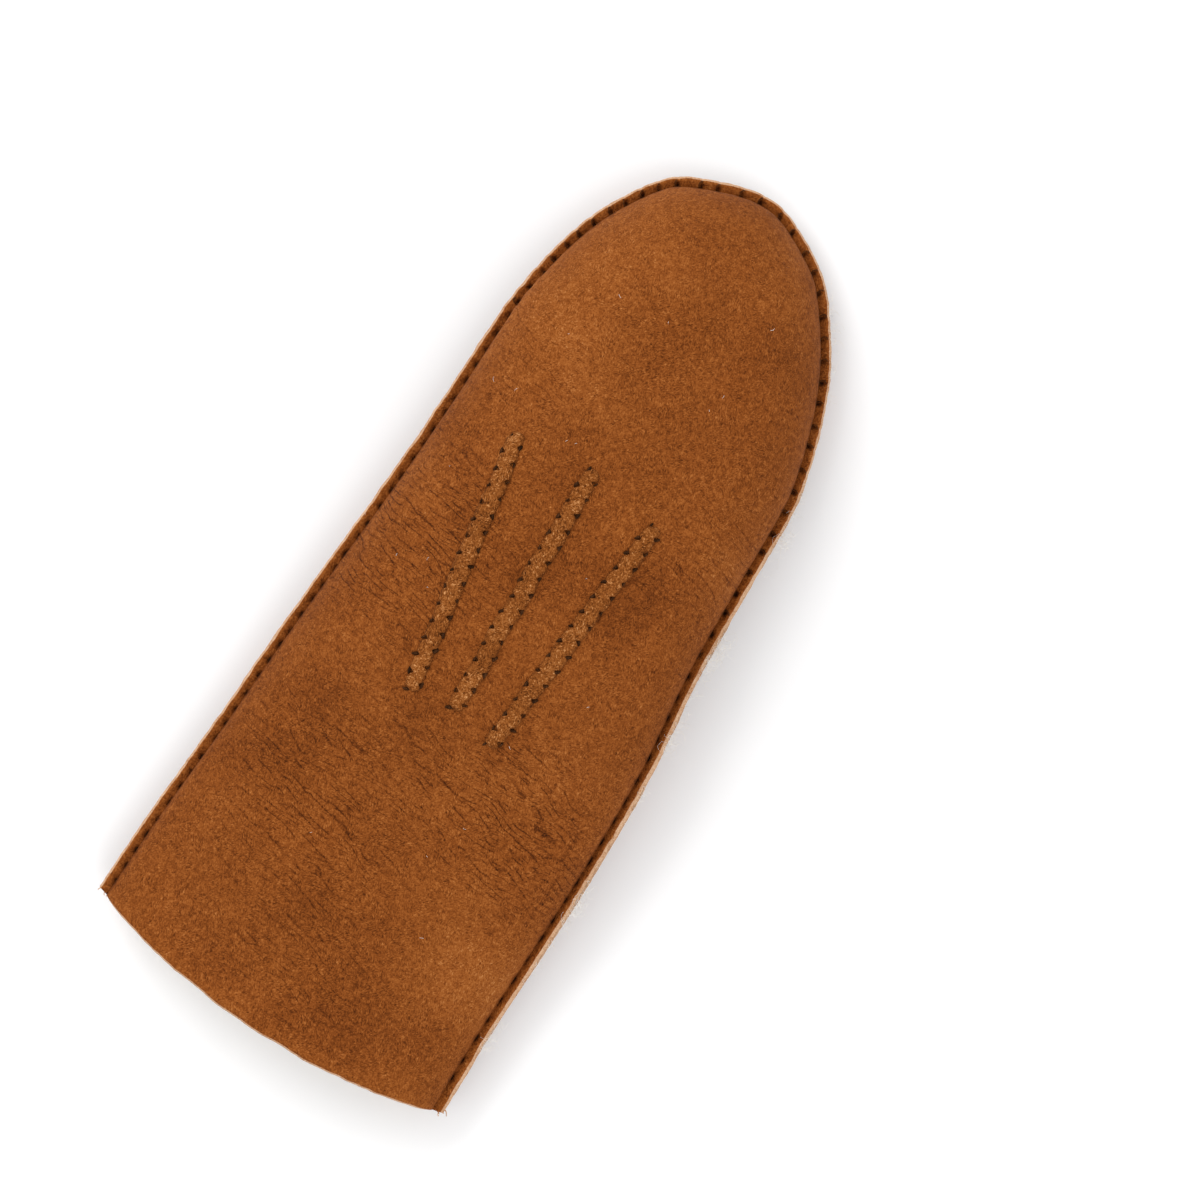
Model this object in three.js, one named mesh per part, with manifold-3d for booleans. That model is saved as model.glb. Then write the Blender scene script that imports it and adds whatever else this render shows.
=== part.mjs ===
// Leather mitten for the left hand, made of shearling: brushed leather outside, wool inside.
// It lies palm down, with its thumb folded flat under the palm.
// Millimetres. X runs across to the thumb side, Y from the cuff to the fingertips, Z up from the floor.

import * as THREE from 'three';
import Module from 'manifold-3d';
import { mergeVertices } from 'three/addons/utils/BufferGeometryUtils.js';

// Driving dimensions of the whole mitten
const mittenLength = 270;
const cuffWidth = 114.6;
const cuffBow = 7.5;
const bowFade = 60;
const handDepth = 44;

// Skins, wool and seams
const leather = 1.3;
const handPile = 4.6;
const thumbPile = 2.4;
const clearance = 0.3;
const seamBorder = 3;
const fleeceSetback = 1.2;

// Thumb, which lies between the floor and the palm
const thumbWidth = 47;
const thumbDepth = 17.4;
const thumbBaseReach = 24;
const thumbTipReach = 19;
const thumbUnderPalm = 0.6;
const drape = 25;

// Raised points on the back
const pointWidth = 4.4;
const pointHeight = 1.3;
const pointRoot = 0.5;
const pointBlunt = 0.04;

// Plan and height of the hand, row by row from the cuff corners up to where the tip starts to round.
// along is a share of the hand's length, left and right of half the cuff's width, and crown, seamLeft
// and seamRight of the hand's depth. turnRight tells how far the right border is turned up, of a right angle.
const handRows = [
  { along: 0.00, left: 1.000, right: 1.000, crown: 0.64, seamLeft: 0.27, seamRight: 0.28, turnRight: 0.10 },
  { along: 0.10, left: 0.995, right: 0.985, crown: 0.66, seamLeft: 0.26, seamRight: 0.29, turnRight: 0.20 },
  { along: 0.21, left: 0.975, right: 0.985, crown: 0.72, seamLeft: 0.27, seamRight: 0.35, turnRight: 0.30 },
  { along: 0.32, left: 0.962, right: 0.972, crown: 0.82, seamLeft: 0.29, seamRight: 0.44, turnRight: 0.30 },
  { along: 0.42, left: 0.944, right: 0.944, crown: 0.92, seamLeft: 0.31, seamRight: 0.50, turnRight: 0.30 },
  { along: 0.53, left: 0.920, right: 0.876, crown: 0.98, seamLeft: 0.33, seamRight: 0.50, turnRight: 0.25 },
  { along: 0.63, left: 0.911, right: 0.843, crown: 1.00, seamLeft: 0.34, seamRight: 0.43, turnRight: 0.15 },
  { along: 0.74, left: 0.911, right: 0.813, crown: 0.96, seamLeft: 0.33, seamRight: 0.35, turnRight: 0.05 },
  { along: 0.79, left: 0.895, right: 0.760, crown: 0.91, seamLeft: 0.31, seamRight: 0.31, turnRight: 0.00 },
];
const tipSeam = 0.23;

// Edge of the rounded tip, from its left end over the top to its right end. across is a share of the
// half width where the tip starts, and along of the length that is left there.
const tipRows = [
  { across: -1.000, along: 0.000 },
  { across: -0.943, along: 0.265 },
  { across: -0.842, along: 0.517 },
  { across: -0.667, along: 0.768 },
  { across: -0.527, along: 0.869 },
  { across: -0.251, along: 0.970 },
  { across: -0.046, along: 1.000 },
  { across: 0.122, along: 0.970 },
  { across: 0.363, along: 0.869 },
  { across: 0.511, along: 0.768 },
  { across: 0.738, along: 0.517 },
  { across: 0.892, along: 0.265 },
  { across: 1.000, along: 0.000 },
];

// Soft swells and dents of the back: place, how far they reach as a share of half the cuff's width,
// and height as a share of the hand's depth
const swellRows = [
  { across: -0.35, along: 0.84, reach: 0.60, height: 0.030 },
  { across: -0.62, along: 0.47, reach: 0.50, height: -0.035 },
  { across: 0.40, along: 0.30, reach: 0.55, height: -0.030 },
  { across: 0.45, along: 0.62, reach: 0.50, height: 0.025 },
  { across: -0.30, along: 0.14, reach: 0.55, height: 0.025 },
  { across: 0.10, along: 0.06, reach: 0.40, height: -0.030 },
];

// Ends of the three raised points, lower end first
const pointRows = [
  { acrossLow: -0.253, alongLow: 0.358, acrossHigh: -0.496, alongHigh: 0.644 },
  { acrossLow: -0.030, alongLow: 0.366, acrossHigh: -0.096, alongHigh: 0.655 },
  { acrossLow: 0.209, alongLow: 0.354, acrossHigh: 0.297, alongHigh: 0.640 },
];

// Section of a raised point: offset as a share of half its width, and rise as a share of its height
const pointArch = [
  { offset: -1.00, rise: -0.20 },
  { offset: -0.85, rise: 0.70 },
  { offset: -0.35, rise: 1.00 },
  { offset: 0.35, rise: 1.00 },
  { offset: 0.85, rise: 0.70 },
  { offset: 1.00, rise: -0.20 },
];

// How deep the lip of the thumb hole is rooted in the palm's skin, as a share of that skin
const lipRoot = 0.4;

// Middle line of the thumb from its root to its tip
const thumbLineRows = [
  { across: 0.470, along: 0.350 },
  { across: 0.450, along: 0.430 },
  { across: 0.210, along: 0.535 },
  { across: -0.227, along: 0.690 },
];

// Form of the thumb along that line: left and right are shares of half its width, depth of its depth, and
// seam is the height of its seam as a share of the depth there
const thumbRows = [
  { along: 0.00, left: 0.82, right: 0.94, depth: 0.45, seam: 0.60 },
  { along: 0.20, left: 0.93, right: 0.94, depth: 0.66, seam: 0.60 },
  { along: 0.40, left: 1.00, right: 0.96, depth: 0.90, seam: 0.62 },
  { along: 0.60, left: 0.98, right: 0.94, depth: 1.00, seam: 0.54 },
  { along: 0.80, left: 0.88, right: 0.84, depth: 1.00, seam: 0.50 },
  { along: 1.00, left: 0.74, right: 0.74, depth: 0.94, seam: 0.50 },
];

// The thumb's mouth in the palm, all as shares of the thumb's line: how far up each side its seam to the
// palm reaches, how far the palm's edge lies past that, how far the line between its ends bows out, over
// which length the seam comes down from the palm, and over which the border then turns flat
const joinLeft = 0.15;
const joinRight = 0.30;
const mouthLap = 0.03;
const mouthBow = 0.10;
const seamDrop = 0.10;
const borderTurn = 0.30;

// How full the sections are: a higher power makes a flatter middle and a steeper side
const backFullness = 2.8;
const palmFullness = 3.0;
const thumbFullness = 2.8;
const baseFullness = 2.0;
const restShare = 1.08;
const insetPower = 3;

// Fineness of the meshes
const sideSteps = 15;
const tipSteps = 16;
const handSpread = 7;
const thumbJoinSteps = 2;
const thumbFreeSteps = 9;
const thumbCapSteps = 8;
const thumbSpread = 5;
const mouthSteps = 10;
const pointSteps = 15;
const trackSteps = 24;
const weldReach = 1e-4;

const handLength = mittenLength - cuffBow;
const halfCuff = cuffWidth / 2;
const tipStart = handRows[handRows.length - 1].along;
const seamReach = clearance / 2 + leather;

const wasm = await Module();
wasm.setup();

// Smooth value of one column of a table between its rows
function follow(rows, along, name) {
  const last = rows.length - 1;
  let low = 0;
  while (low < last - 1 && along > rows[low + 1].along) low += 1;
  const slopeAt = (index) => {
    const before = rows[Math.max(index - 1, 0)];
    const after = rows[Math.min(index + 1, last)];
    return (after[name] - before[name]) / (after.along - before.along);
  };
  const span = rows[low + 1].along - rows[low].along;
  const t = THREE.MathUtils.clamp((along - rows[low].along) / span, 0, 1);
  const start = rows[low][name] * (1 + 2 * t) * (1 - t) ** 2 + slopeAt(low) * span * t * (1 - t) ** 2;
  const end = rows[low + 1][name] * t * t * (3 - 2 * t) - slopeAt(low + 1) * span * t * t * (1 - t);
  return start + end;
}

// Full section profile: 1 in the middle, 0 at the seam, with the sides rising steeply there
function profile(share, fullness) {
  return Math.sqrt(Math.max(0, 1 - share ** fullness));
}

// The same for what rests: its middle is flat
function restProfile(share, fullness) {
  return Math.min(1, restShare * profile(share, fullness));
}

// One spoke of the hand in plan, from the spine to the raw edge
function sideSpoke(along, side) {
  const left = follow(handRows, along, 'left') * halfCuff;
  const right = follow(handRows, along, 'right') * halfCuff;
  return {
    root: new THREE.Vector2((right - left) / 2, along * handLength),
    edge: new THREE.Vector2(side < 0 ? -left : right, along * handLength),
    crown: follow(handRows, along, 'crown') * handDepth,
    seam: follow(handRows, along, side < 0 ? 'seamLeft' : 'seamRight') * handDepth,
    turn: side < 0 ? 0 : follow(handRows, along, 'turnRight') * Math.PI / 2,
  };
}

function tipSpokes() {
  const leftEnd = sideSpoke(tipStart, -1);
  const rightEnd = sideSpoke(tipStart, 1);
  const halfTip = (rightEnd.edge.x - leftEnd.edge.x) / 2;
  const tipLength = handLength - leftEnd.root.y;
  const spots = tipRows.map((row) => new THREE.Vector2(row.across * halfTip, row.along * tipLength));
  const edges = new THREE.SplineCurve(spots).getSpacedPoints(tipSteps);
  return edges.slice(1, -1).map((spot, index) => {
    const sideSeam = THREE.MathUtils.lerp(leftEnd.seam, rightEnd.seam, (index + 1) / tipSteps);
    return {
      root: leftEnd.root,
      edge: leftEnd.root.clone().add(spot),
      crown: leftEnd.crown,
      seam: THREE.MathUtils.lerp(sideSeam, tipSeam * handDepth, spot.y / tipLength),
      turn: 0,
    };
  });
}

// All spokes of the hand, from the left corner of the cuff round the tip to the right corner
function handSpokes(setback) {
  const stations = Array.from({ length: sideSteps + 1 }, (_, i) => tipStart * i / sideSteps);
  stations[0] = setback / handLength;
  const left = stations.map((along) => sideSpoke(along, -1));
  const right = stations.map((along) => sideSpoke(along, 1)).reverse();
  return [...left, ...tipSpokes(), ...right];
}

// The middle line of the thumb, and the spot of it that is nearest to a place in the plan
const thumbLine = new THREE.SplineCurve(
  thumbLineRows.map((row) => new THREE.Vector2(row.across * halfCuff, row.along * handLength)),
);
const thumbTrack = thumbLine.getSpacedPoints(trackSteps);

function nearestOnThumb(spot) {
  let best = { distance: Infinity, along: 0 };
  for (let i = 0; i + 1 < thumbTrack.length; i += 1) {
    const start = thumbTrack[i];
    const step = thumbTrack[i + 1].clone().sub(start);
    const t = THREE.MathUtils.clamp(spot.clone().sub(start).dot(step) / step.lengthSq(), 0, 1);
    const distance = spot.distanceTo(start.clone().addScaledVector(step, t));
    if (distance < best.distance) best = { distance, along: (i + t) / (thumbTrack.length - 1) };
  }
  return best;
}

// Height of what the palm lies on: the floor, or the folded thumb with a slope around it
function bed(spot) {
  const near = nearestOnThumb(spot);
  const sides = follow(thumbRows, near.along, 'left') + follow(thumbRows, near.along, 'right');
  const half = sides * thumbWidth / 4;
  const height = follow(thumbRows, near.along, 'depth') * thumbDepth;
  return height * (1 - THREE.MathUtils.smoothstep(near.distance, half, half + drape));
}

// Swells and dents of the back
function swell(spot) {
  return swellRows.reduce((sum, row) => {
    const place = new THREE.Vector2(row.across * halfCuff, row.along * handLength);
    const far = spot.distanceTo(place) / (row.reach * halfCuff);
    return sum + row.height * handDepth * (1 - THREE.MathUtils.smoothstep(far, 0, 1));
  }, 0);
}

// Corners of a seam border in its section, r outwards and z up. side is 1 for the upper skin and -1 for
// the lower one, whose flesh sides face each other across the clearance.
function borderCorners(spoke, side) {
  const foot = spoke.edge.distanceTo(spoke.root) - seamBorder;
  const lean = -side * Math.tan(spoke.turn / 2);
  const along = new THREE.Vector2(Math.cos(spoke.turn), Math.sin(spoke.turn));
  const grain = new THREE.Vector2(foot + lean * seamReach, spoke.seam + side * seamReach);
  const flesh = new THREE.Vector2(foot + lean * clearance / 2, spoke.seam + side * clearance / 2);
  return {
    grain,
    flesh,
    grainMiddle: grain.clone().addScaledVector(along, seamBorder / 2),
    grainEdge: grain.clone().addScaledVector(along, seamBorder),
    fleshEdge: flesh.clone().addScaledVector(along, seamBorder),
  };
}

// A point of a piece from its distance along a spoke and its height
function onSpoke(spoke, r, z, bow) {
  const length = spoke.edge.distanceTo(spoke.root);
  const spot = spoke.root.clone().lerp(spoke.edge, r / length);
  return new THREE.Vector3(spot.x, spot.y - bow(spoke, r / length), z);
}

// The cut edge of the cuff bows out in its middle
function cuffShift(spoke, share) {
  const fade = Math.max(0, 1 - spoke.root.y / bowFade);
  return cuffBow * (1 - share ** 2) * fade ** 2;
}

function noShift() {
  return 0;
}

// Height of one layer of a skin or fleece at a share of the way from the spine to the seam. inset is its
// depth under the grain side.
function layerHeight(spoke, form, inset, share) {
  const corners = borderCorners(spoke, form.side);
  const footHeight = inset === 0 ? corners.grain.y : corners.flesh.y;
  const place = corners.grain.x * share / spoke.edge.distanceTo(spoke.root);
  const top = form.target(spoke, spoke.root.clone().lerp(spoke.edge, place)) - form.side * inset;
  return footHeight + (top - footHeight) * form.section(spoke, share);
}

// Points of one layer, which is inset upright in the middle and more and more sideways towards the seam
function layerRow(spoke, form, inset) {
  const reach = borderCorners(spoke, form.side).grain.x;
  return form.shares.map((share) => {
    const r = reach * share - inset * share ** insetPower;
    return onSpoke(spoke, r, layerHeight(spoke, form, inset, share), form.bow);
  });
}

// Grain side and flesh side of a skin, with its seam border
function skinRows(spoke, form) {
  const corners = borderCorners(spoke, form.side);
  const place = (corner) => onSpoke(spoke, corner.x, corner.y, form.bow);
  return {
    outer: [...layerRow(spoke, form, 0), place(corners.grainMiddle), place(corners.grainEdge)],
    inner: [...layerRow(spoke, form, leather), place(corners.flesh), place(corners.fleshEdge)],
  };
}

// Outer and inner side of the wool under a skin
function fleeceRows(spoke, form) {
  const inset = leather + clearance;
  return {
    outer: layerRow(spoke, form, inset),
    inner: layerRow(spoke, form, inset + form.pile),
  };
}

// Closed geometry between the outer and inner points of all spokes. A ring of spokes closes on itself,
// and an open fan is closed by its two cut ends.
function shellGeometry(rows, ring) {
  const count = rows.length;
  const width = rows[0].outer.length;
  const points = rows.flatMap((row) => [...row.outer, ...row.inner]);
  const index = (row, column, layer) => ((row % count) * 2 + layer) * width + column;
  const faces = [];
  const quad = (a, b, c, d) => {
    faces.push([a, b, c], [a, c, d]);
  };
  const steps = ring ? count : count - 1;
  for (let row = 0; row < steps; row += 1) {
    for (let column = 0; column + 1 < width; column += 1) {
      quad(index(row, column, 0), index(row + 1, column, 0),
        index(row + 1, column + 1, 0), index(row, column + 1, 0));
      quad(index(row, column, 1), index(row, column + 1, 1),
        index(row + 1, column + 1, 1), index(row + 1, column, 1));
    }
    quad(index(row, width - 1, 0), index(row + 1, width - 1, 0),
      index(row + 1, width - 1, 1), index(row, width - 1, 1));
  }
  for (let column = 0; !ring && column + 1 < width; column += 1) {
    quad(index(0, column, 1), index(0, column, 0), index(0, column + 1, 0), index(0, column + 1, 1));
    quad(index(count - 1, column, 0), index(count - 1, column, 1),
      index(count - 1, column + 1, 1), index(count - 1, column + 1, 0));
  }
  const geometry = new THREE.BufferGeometry().setFromPoints(points);
  geometry.setIndex(faces.flat());
  return geometry;
}

// A solid from a closed geometry, whichever way its faces turn
function solidOf(geometry) {
  geometry.deleteAttribute('normal');
  geometry.deleteAttribute('uv');
  const merged = mergeVertices(geometry, weldReach);
  const corners = merged.attributes.position.array;
  const faces = [];
  for (let i = 0; i < merged.index.count; i += 3) {
    const face = [merged.index.getX(i), merged.index.getX(i + 1), merged.index.getX(i + 2)];
    if (new Set(face).size === 3) faces.push(face);
  }
  const volume = faces.reduce((sum, face) => {
    const [a, b, c] = face.map((corner) => new THREE.Vector3().fromArray(corners, corner * 3));
    return sum + a.dot(b.cross(c));
  }, 0);
  const turned = volume < 0 ? faces.map(([a, b, c]) => [a, c, b]) : faces;
  return new wasm.Manifold(new wasm.Mesh({
    numProp: 3,
    vertProperties: new Float32Array(corners),
    triVerts: new Uint32Array(turned.flat()),
  }));
}

function pieceMesh(name, solid, material) {
  const { vertProperties, triVerts } = solid.getMesh();
  const geometry = new THREE.BufferGeometry();
  geometry.setAttribute('position', new THREE.BufferAttribute(vertProperties, 3));
  geometry.setIndex(new THREE.BufferAttribute(triVerts, 1));
  geometry.computeVertexNormals();
  const mesh = new THREE.Mesh(geometry, material);
  mesh.name = name;
  return mesh;
}

// Shares of the way from the spine to the seam, closer together towards the seam
function spread(steps) {
  return Array.from({ length: steps + 1 }, (_, i) => Math.sin(i / steps * Math.PI / 2));
}

const backForm = {
  side: 1,
  shares: spread(handSpread),
  pile: handPile,
  bow: cuffShift,
  target: (spoke, spot) => spoke.crown + swell(spot),
  section: (spoke, share) => profile(share, backFullness),
};

const palmForm = {
  side: -1,
  shares: spread(handSpread),
  pile: handPile,
  bow: cuffShift,
  target: (spoke, spot) => bed(spot),
  section: (spoke, share) => restProfile(share, palmFullness),
};

// Height of the grain side of a hand skin over a place in the plan below the rounded tip, between the
// corners of the skin's own facets
function skinHeight(spot, form) {
  const station = THREE.MathUtils.clamp(spot.y / handLength / tipStart * sideSteps, 0, sideSteps - 1e-6);
  const heightOn = (step) => {
    const along = tipStart * step / sideSteps;
    const middle = sideSpoke(along, 1).root.x;
    const spoke = sideSpoke(along, spot.x < middle ? -1 : 1);
    const share = Math.min(1, Math.abs(spot.x - middle) / borderCorners(spoke, form.side).grain.x);
    const next = Math.max(1, form.shares.findIndex((value) => value >= share));
    const [low, high] = [form.shares[next - 1], form.shares[next]];
    return THREE.MathUtils.lerp(
      layerHeight(spoke, form, 0, low),
      layerHeight(spoke, form, 0, high),
      (share - low) / (high - low),
    );
  };
  const below = Math.floor(station);
  return THREE.MathUtils.lerp(heightOn(below), heightOn(below + 1), station - below);
}

// One spoke of the thumb. Where it is sewn into the palm, its border is turned down beside the lip of the
// thumb hole and its seam lies at the palm's height. Elsewhere the border turns flat.
function thumbSpoke(root, edge, along, join, turn) {
  const foot = edge.clone().sub(root);
  foot.setLength(foot.length() - seamBorder).add(root);
  const freeSeam = follow(thumbRows, along, 'seam') * follow(thumbRows, along, 'depth') * thumbDepth;
  const joinedSeam = skinHeight(foot, palmForm) + seamReach;
  return {
    root,
    edge,
    join,
    seam: THREE.MathUtils.lerp(freeSeam, joinedSeam, join),
    turn: -turn * Math.PI / 2,
  };
}

function thumbSideSpoke(along, side) {
  const root = thumbLine.getPointAt(along);
  const tangent = thumbLine.getTangentAt(along);
  const across = new THREE.Vector2(tangent.y, -tangent.x).multiplyScalar(side);
  const half = follow(thumbRows, along, side < 0 ? 'left' : 'right') * thumbWidth / 2;
  const end = side < 0 ? joinLeft : joinRight;
  const join = 1 - THREE.MathUtils.smoothstep(along, end - seamDrop, end);
  const turn = 1 - THREE.MathUtils.smoothstep(along, end, end + borderTurn);
  const edge = root.clone().addScaledVector(across, half);
  return thumbSpoke(root, edge, along, join, turn);
}

// The round end of the thumb at along 0 or 1, between its two sides
function thumbCapSpokes(along, reach) {
  const outwards = along === 0 ? -1 : 1;
  const start = thumbSideSpoke(along, outwards);
  const end = thumbSideSpoke(along, -outwards);
  const tangent = thumbLine.getTangentAt(along).multiplyScalar(outwards);
  return Array.from({ length: thumbCapSteps - 1 }, (_, i) => {
    const angle = (i + 1) / thumbCapSteps * Math.PI;
    const from = angle < Math.PI / 2 ? start : end;
    const arm = from.edge.clone().sub(start.root).multiplyScalar(Math.abs(Math.cos(angle)));
    const edge = start.root.clone().add(arm).addScaledVector(tangent, Math.sin(angle) * reach);
    const joined = along === 0 ? 1 : 0;
    return thumbSpoke(start.root, edge, along, joined, joined);
  });
}

// Places along the thumb's line that both sides of all its pieces share
function thumbStations() {
  const steps = (start, end, count) => {
    return Array.from({ length: count }, (_, i) => start + (end - start) * i / count);
  };
  return [
    ...steps(0, joinLeft, thumbJoinSteps),
    ...steps(joinLeft, joinRight, thumbJoinSteps),
    ...steps(joinRight, 1, thumbFreeSteps),
    1,
  ];
}

function thumbSpokes() {
  const stations = thumbStations();
  const right = stations.map((along) => thumbSideSpoke(along, 1));
  const left = stations.map((along) => thumbSideSpoke(along, -1)).reverse();
  return [...right, ...thumbCapSpokes(1, thumbTipReach), ...left, ...thumbCapSpokes(0, thumbBaseReach)];
}

function thumbSection(spoke, share) {
  const fullness = THREE.MathUtils.lerp(thumbFullness, baseFullness, spoke.join);
  return restProfile(share, fullness);
}

const thumbOuterForm = {
  side: -1,
  shares: spread(thumbSpread),
  pile: thumbPile,
  bow: noShift,
  target: () => 0,
  section: thumbSection,
};

const thumbInnerForm = {
  side: 1,
  shares: spread(thumbSpread),
  pile: thumbPile,
  bow: noShift,
  target: (spoke, spot) => bed(spot) - thumbUnderPalm,
  section: (spoke, share) => restProfile(share, thumbFullness),
};

// Upright prism over an outline in the plan
function prism(outline, low, high) {
  const geometry = new THREE.ExtrudeGeometry(new THREE.Shape(outline), {
    depth: high - low,
    bevelEnabled: false,
  });
  geometry.translate(0, 0, low);
  return solidOf(geometry);
}

// The base of the thumb, from its left end round to its right end, whose last spokes are moved by lap
function baseSpokes(lap) {
  const upTo = (end, side) => {
    const shared = thumbStations().filter((along) => along < end);
    return [...shared, end + lap].map((along) => thumbSideSpoke(along, side));
  };
  return [...upTo(joinLeft, -1).reverse(), ...thumbCapSpokes(0, thumbBaseReach), ...upTo(joinRight, 1)];
}

// A place beside the foot of a spoke's seam, which is grow outwards of the seam's middle
function besideFoot(spoke, grow) {
  const arm = spoke.edge.clone().sub(spoke.root);
  return arm.setLength(arm.length() - seamBorder + grow).add(spoke.root);
}

// The bowed line across the thumb's mouth, between two places at its sides
function mouthLine(right, left) {
  const middle = right.clone().add(left).multiplyScalar(0.5);
  const outwards = thumbLine.getTangentAt((joinLeft + joinRight) / 2);
  middle.addScaledVector(outwards, mouthBow * 2 * thumbLine.getLength());
  return new THREE.QuadraticBezierCurve(right, middle, left).getPoints(mouthSteps);
}

// Cutter for the thumb hole
function holeCutter() {
  const base = baseSpokes(mouthLap).map((spoke) => besideFoot(spoke, clearance / 2));
  const line = mouthLine(base[base.length - 1], base[0]);
  return prism([...base, ...line.slice(1, -1)], -handDepth, handDepth * 2);
}

// Cutter for all of the inner thumb that lies on the root's side of its own mouth line
function rootCutter() {
  const start = clearance / thumbLine.getLength();
  const rightEnd = thumbSideSpoke(joinRight + start, 1);
  const leftEnd = thumbSideSpoke(joinLeft + start, -1);
  const back = thumbLine.getTangentAt(0).multiplyScalar(-2 * thumbWidth);
  const farRight = besideFoot(rightEnd, thumbWidth);
  const farLeft = besideFoot(leftEnd, thumbWidth);
  const outline = [farLeft, farLeft.clone().add(back), farRight.clone().add(back), farRight];
  const line = mouthLine(besideFoot(rightEnd, clearance / 2), besideFoot(leftEnd, clearance / 2));
  return prism([...outline, ...line], -handDepth, handDepth * 2);
}

// Lip of the thumb hole: the palm's edge, turned down beside the border of the thumb's base
function holeLip() {
  const sections = baseSpokes(0).map((spoke) => {
    const inside = besideFoot(spoke, 0);
    const outside = besideFoot(spoke, seamReach);
    const top = skinHeight(inside, palmForm) + leather * lipRoot;
    const low = spoke.seam - (seamReach + seamBorder) * spoke.join;
    return [[inside, top], [inside, low], [outside, low], [outside, top]]
      .map(([spot, z]) => new THREE.Vector3(spot.x, spot.y, z));
  });
  return solidOf(barGeometry(sections));
}

// Closed bar through a row of sections that all have the same number of corners
function barGeometry(sections) {
  const size = sections[0].length;
  const faces = [];
  for (let row = 0; row + 1 < sections.length; row += 1) {
    for (let i = 0; i < size; i += 1) {
      const next = (i + 1) % size;
      const low = row * size;
      const high = low + size;
      faces.push([low + i, low + next, high + next], [low + i, high + next, high + i]);
    }
  }
  const last = (sections.length - 1) * size;
  for (let i = 1; i + 1 < size; i += 1) {
    faces.push([0, i + 1, i], [last, last + i, last + i + 1]);
  }
  const geometry = new THREE.BufferGeometry().setFromPoints(sections.flat());
  geometry.setIndex(faces.flat());
  return geometry;
}

// One raised point: a narrow ridge of the back's own skin, highest in its middle
function pointSolid(row) {
  const low = new THREE.Vector2(row.acrossLow * halfCuff, row.alongLow * handLength);
  const high = new THREE.Vector2(row.acrossHigh * halfCuff, row.alongHigh * handLength);
  const across = high.clone().sub(low).normalize();
  across.set(across.y, -across.x);
  const sections = Array.from({ length: pointSteps + 1 }, (_, i) => {
    const share = i / pointSteps;
    const middle = low.clone().lerp(high, share);
    const full = Math.sqrt(Math.sin(Math.PI * (pointBlunt + share * (1 - 2 * pointBlunt))));
    const top = pointArch.map(({ offset, rise }) => {
      const spot = middle.clone().addScaledVector(across, offset * full * pointWidth / 2);
      const height = skinHeight(spot, backForm) + rise * full * pointHeight;
      return new THREE.Vector3(spot.x, spot.y, height);
    });
    const floor = [top[top.length - 1], top[0]].map((corner) => {
      return new THREE.Vector3(corner.x, corner.y, corner.z - pointRoot);
    });
    return [...top, ...floor];
  });
  return solidOf(barGeometry(sections));
}

const handShell = (rows) => solidOf(shellGeometry(rows, false));
const thumbShell = (rows) => solidOf(shellGeometry(rows, true));
const skinSpokes = handSpokes(0);
const fleeceSpokes = handSpokes(fleeceSetback);
const thumbRing = thumbSpokes();
const hole = holeCutter();
const rootSide = rootCutter();

const backLeather = pointRows.reduce(
  (solid, row) => solid.add(pointSolid(row)),
  handShell(skinSpokes.map((spoke) => skinRows(spoke, backForm))),
);
const palmLeather = handShell(skinSpokes.map((spoke) => skinRows(spoke, palmForm)))
  .add(holeLip())
  .subtract(hole);
const backFleece = handShell(fleeceSpokes.map((spoke) => fleeceRows(spoke, backForm)));
const palmFleece = handShell(fleeceSpokes.map((spoke) => fleeceRows(spoke, palmForm))).subtract(hole);
const thumbOuterLeather = thumbShell(thumbRing.map((spoke) => skinRows(spoke, thumbOuterForm)));
const thumbOuterFleece = thumbShell(thumbRing.map((spoke) => fleeceRows(spoke, thumbOuterForm)));
const thumbInnerLeather = thumbShell(thumbRing.map((spoke) => skinRows(spoke, thumbInnerForm)))
  .subtract(rootSide);
const thumbInnerFleece = thumbShell(thumbRing.map((spoke) => fleeceRows(spoke, thumbInnerForm)))
  .subtract(rootSide);

const backSuede = new THREE.MeshStandardMaterial({ color: 0x94562a, roughness: 0.9, metalness: 0 });
const palmSuede = new THREE.MeshStandardMaterial({ color: 0x85481f, roughness: 0.9, metalness: 0 });
const wool = new THREE.MeshStandardMaterial({ color: 0xd9d0bf, roughness: 1, metalness: 0 });

const mitten = new THREE.Group();
mitten.add(pieceMesh('back_leather', backLeather, backSuede));
mitten.add(pieceMesh('palm_leather', palmLeather, palmSuede));
mitten.add(pieceMesh('thumb_outer_leather', thumbOuterLeather, palmSuede));
mitten.add(pieceMesh('thumb_inner_leather', thumbInnerLeather, palmSuede));
mitten.add(pieceMesh('back_fleece', backFleece, wool));
mitten.add(pieceMesh('palm_fleece', palmFleece, wool));
mitten.add(pieceMesh('thumb_outer_fleece', thumbOuterFleece, wool));
mitten.add(pieceMesh('thumb_inner_fleece', thumbInnerFleece, wool));

// The origin is on the floor, under the middle of the mitten's box
const middle = new THREE.Box3().setFromObject(mitten).getCenter(new THREE.Vector3());
mitten.position.set(-middle.x, -middle.y, 0);

export default mitten;
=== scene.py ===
# %% [markdown]
# # A shearling mitten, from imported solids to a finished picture
# The mitten is brushed leather outside and wool inside. It lies palm down on a pale table. The solids give
# its size and its main form. Here each of them gets the piece that is seen: skins with seams, cut edges,
# raised points, stitches and wool.

# %% Load the solids as the fixed frame
import math

import bpy
import numpy as np
from mathutils import Matrix, Vector


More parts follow.
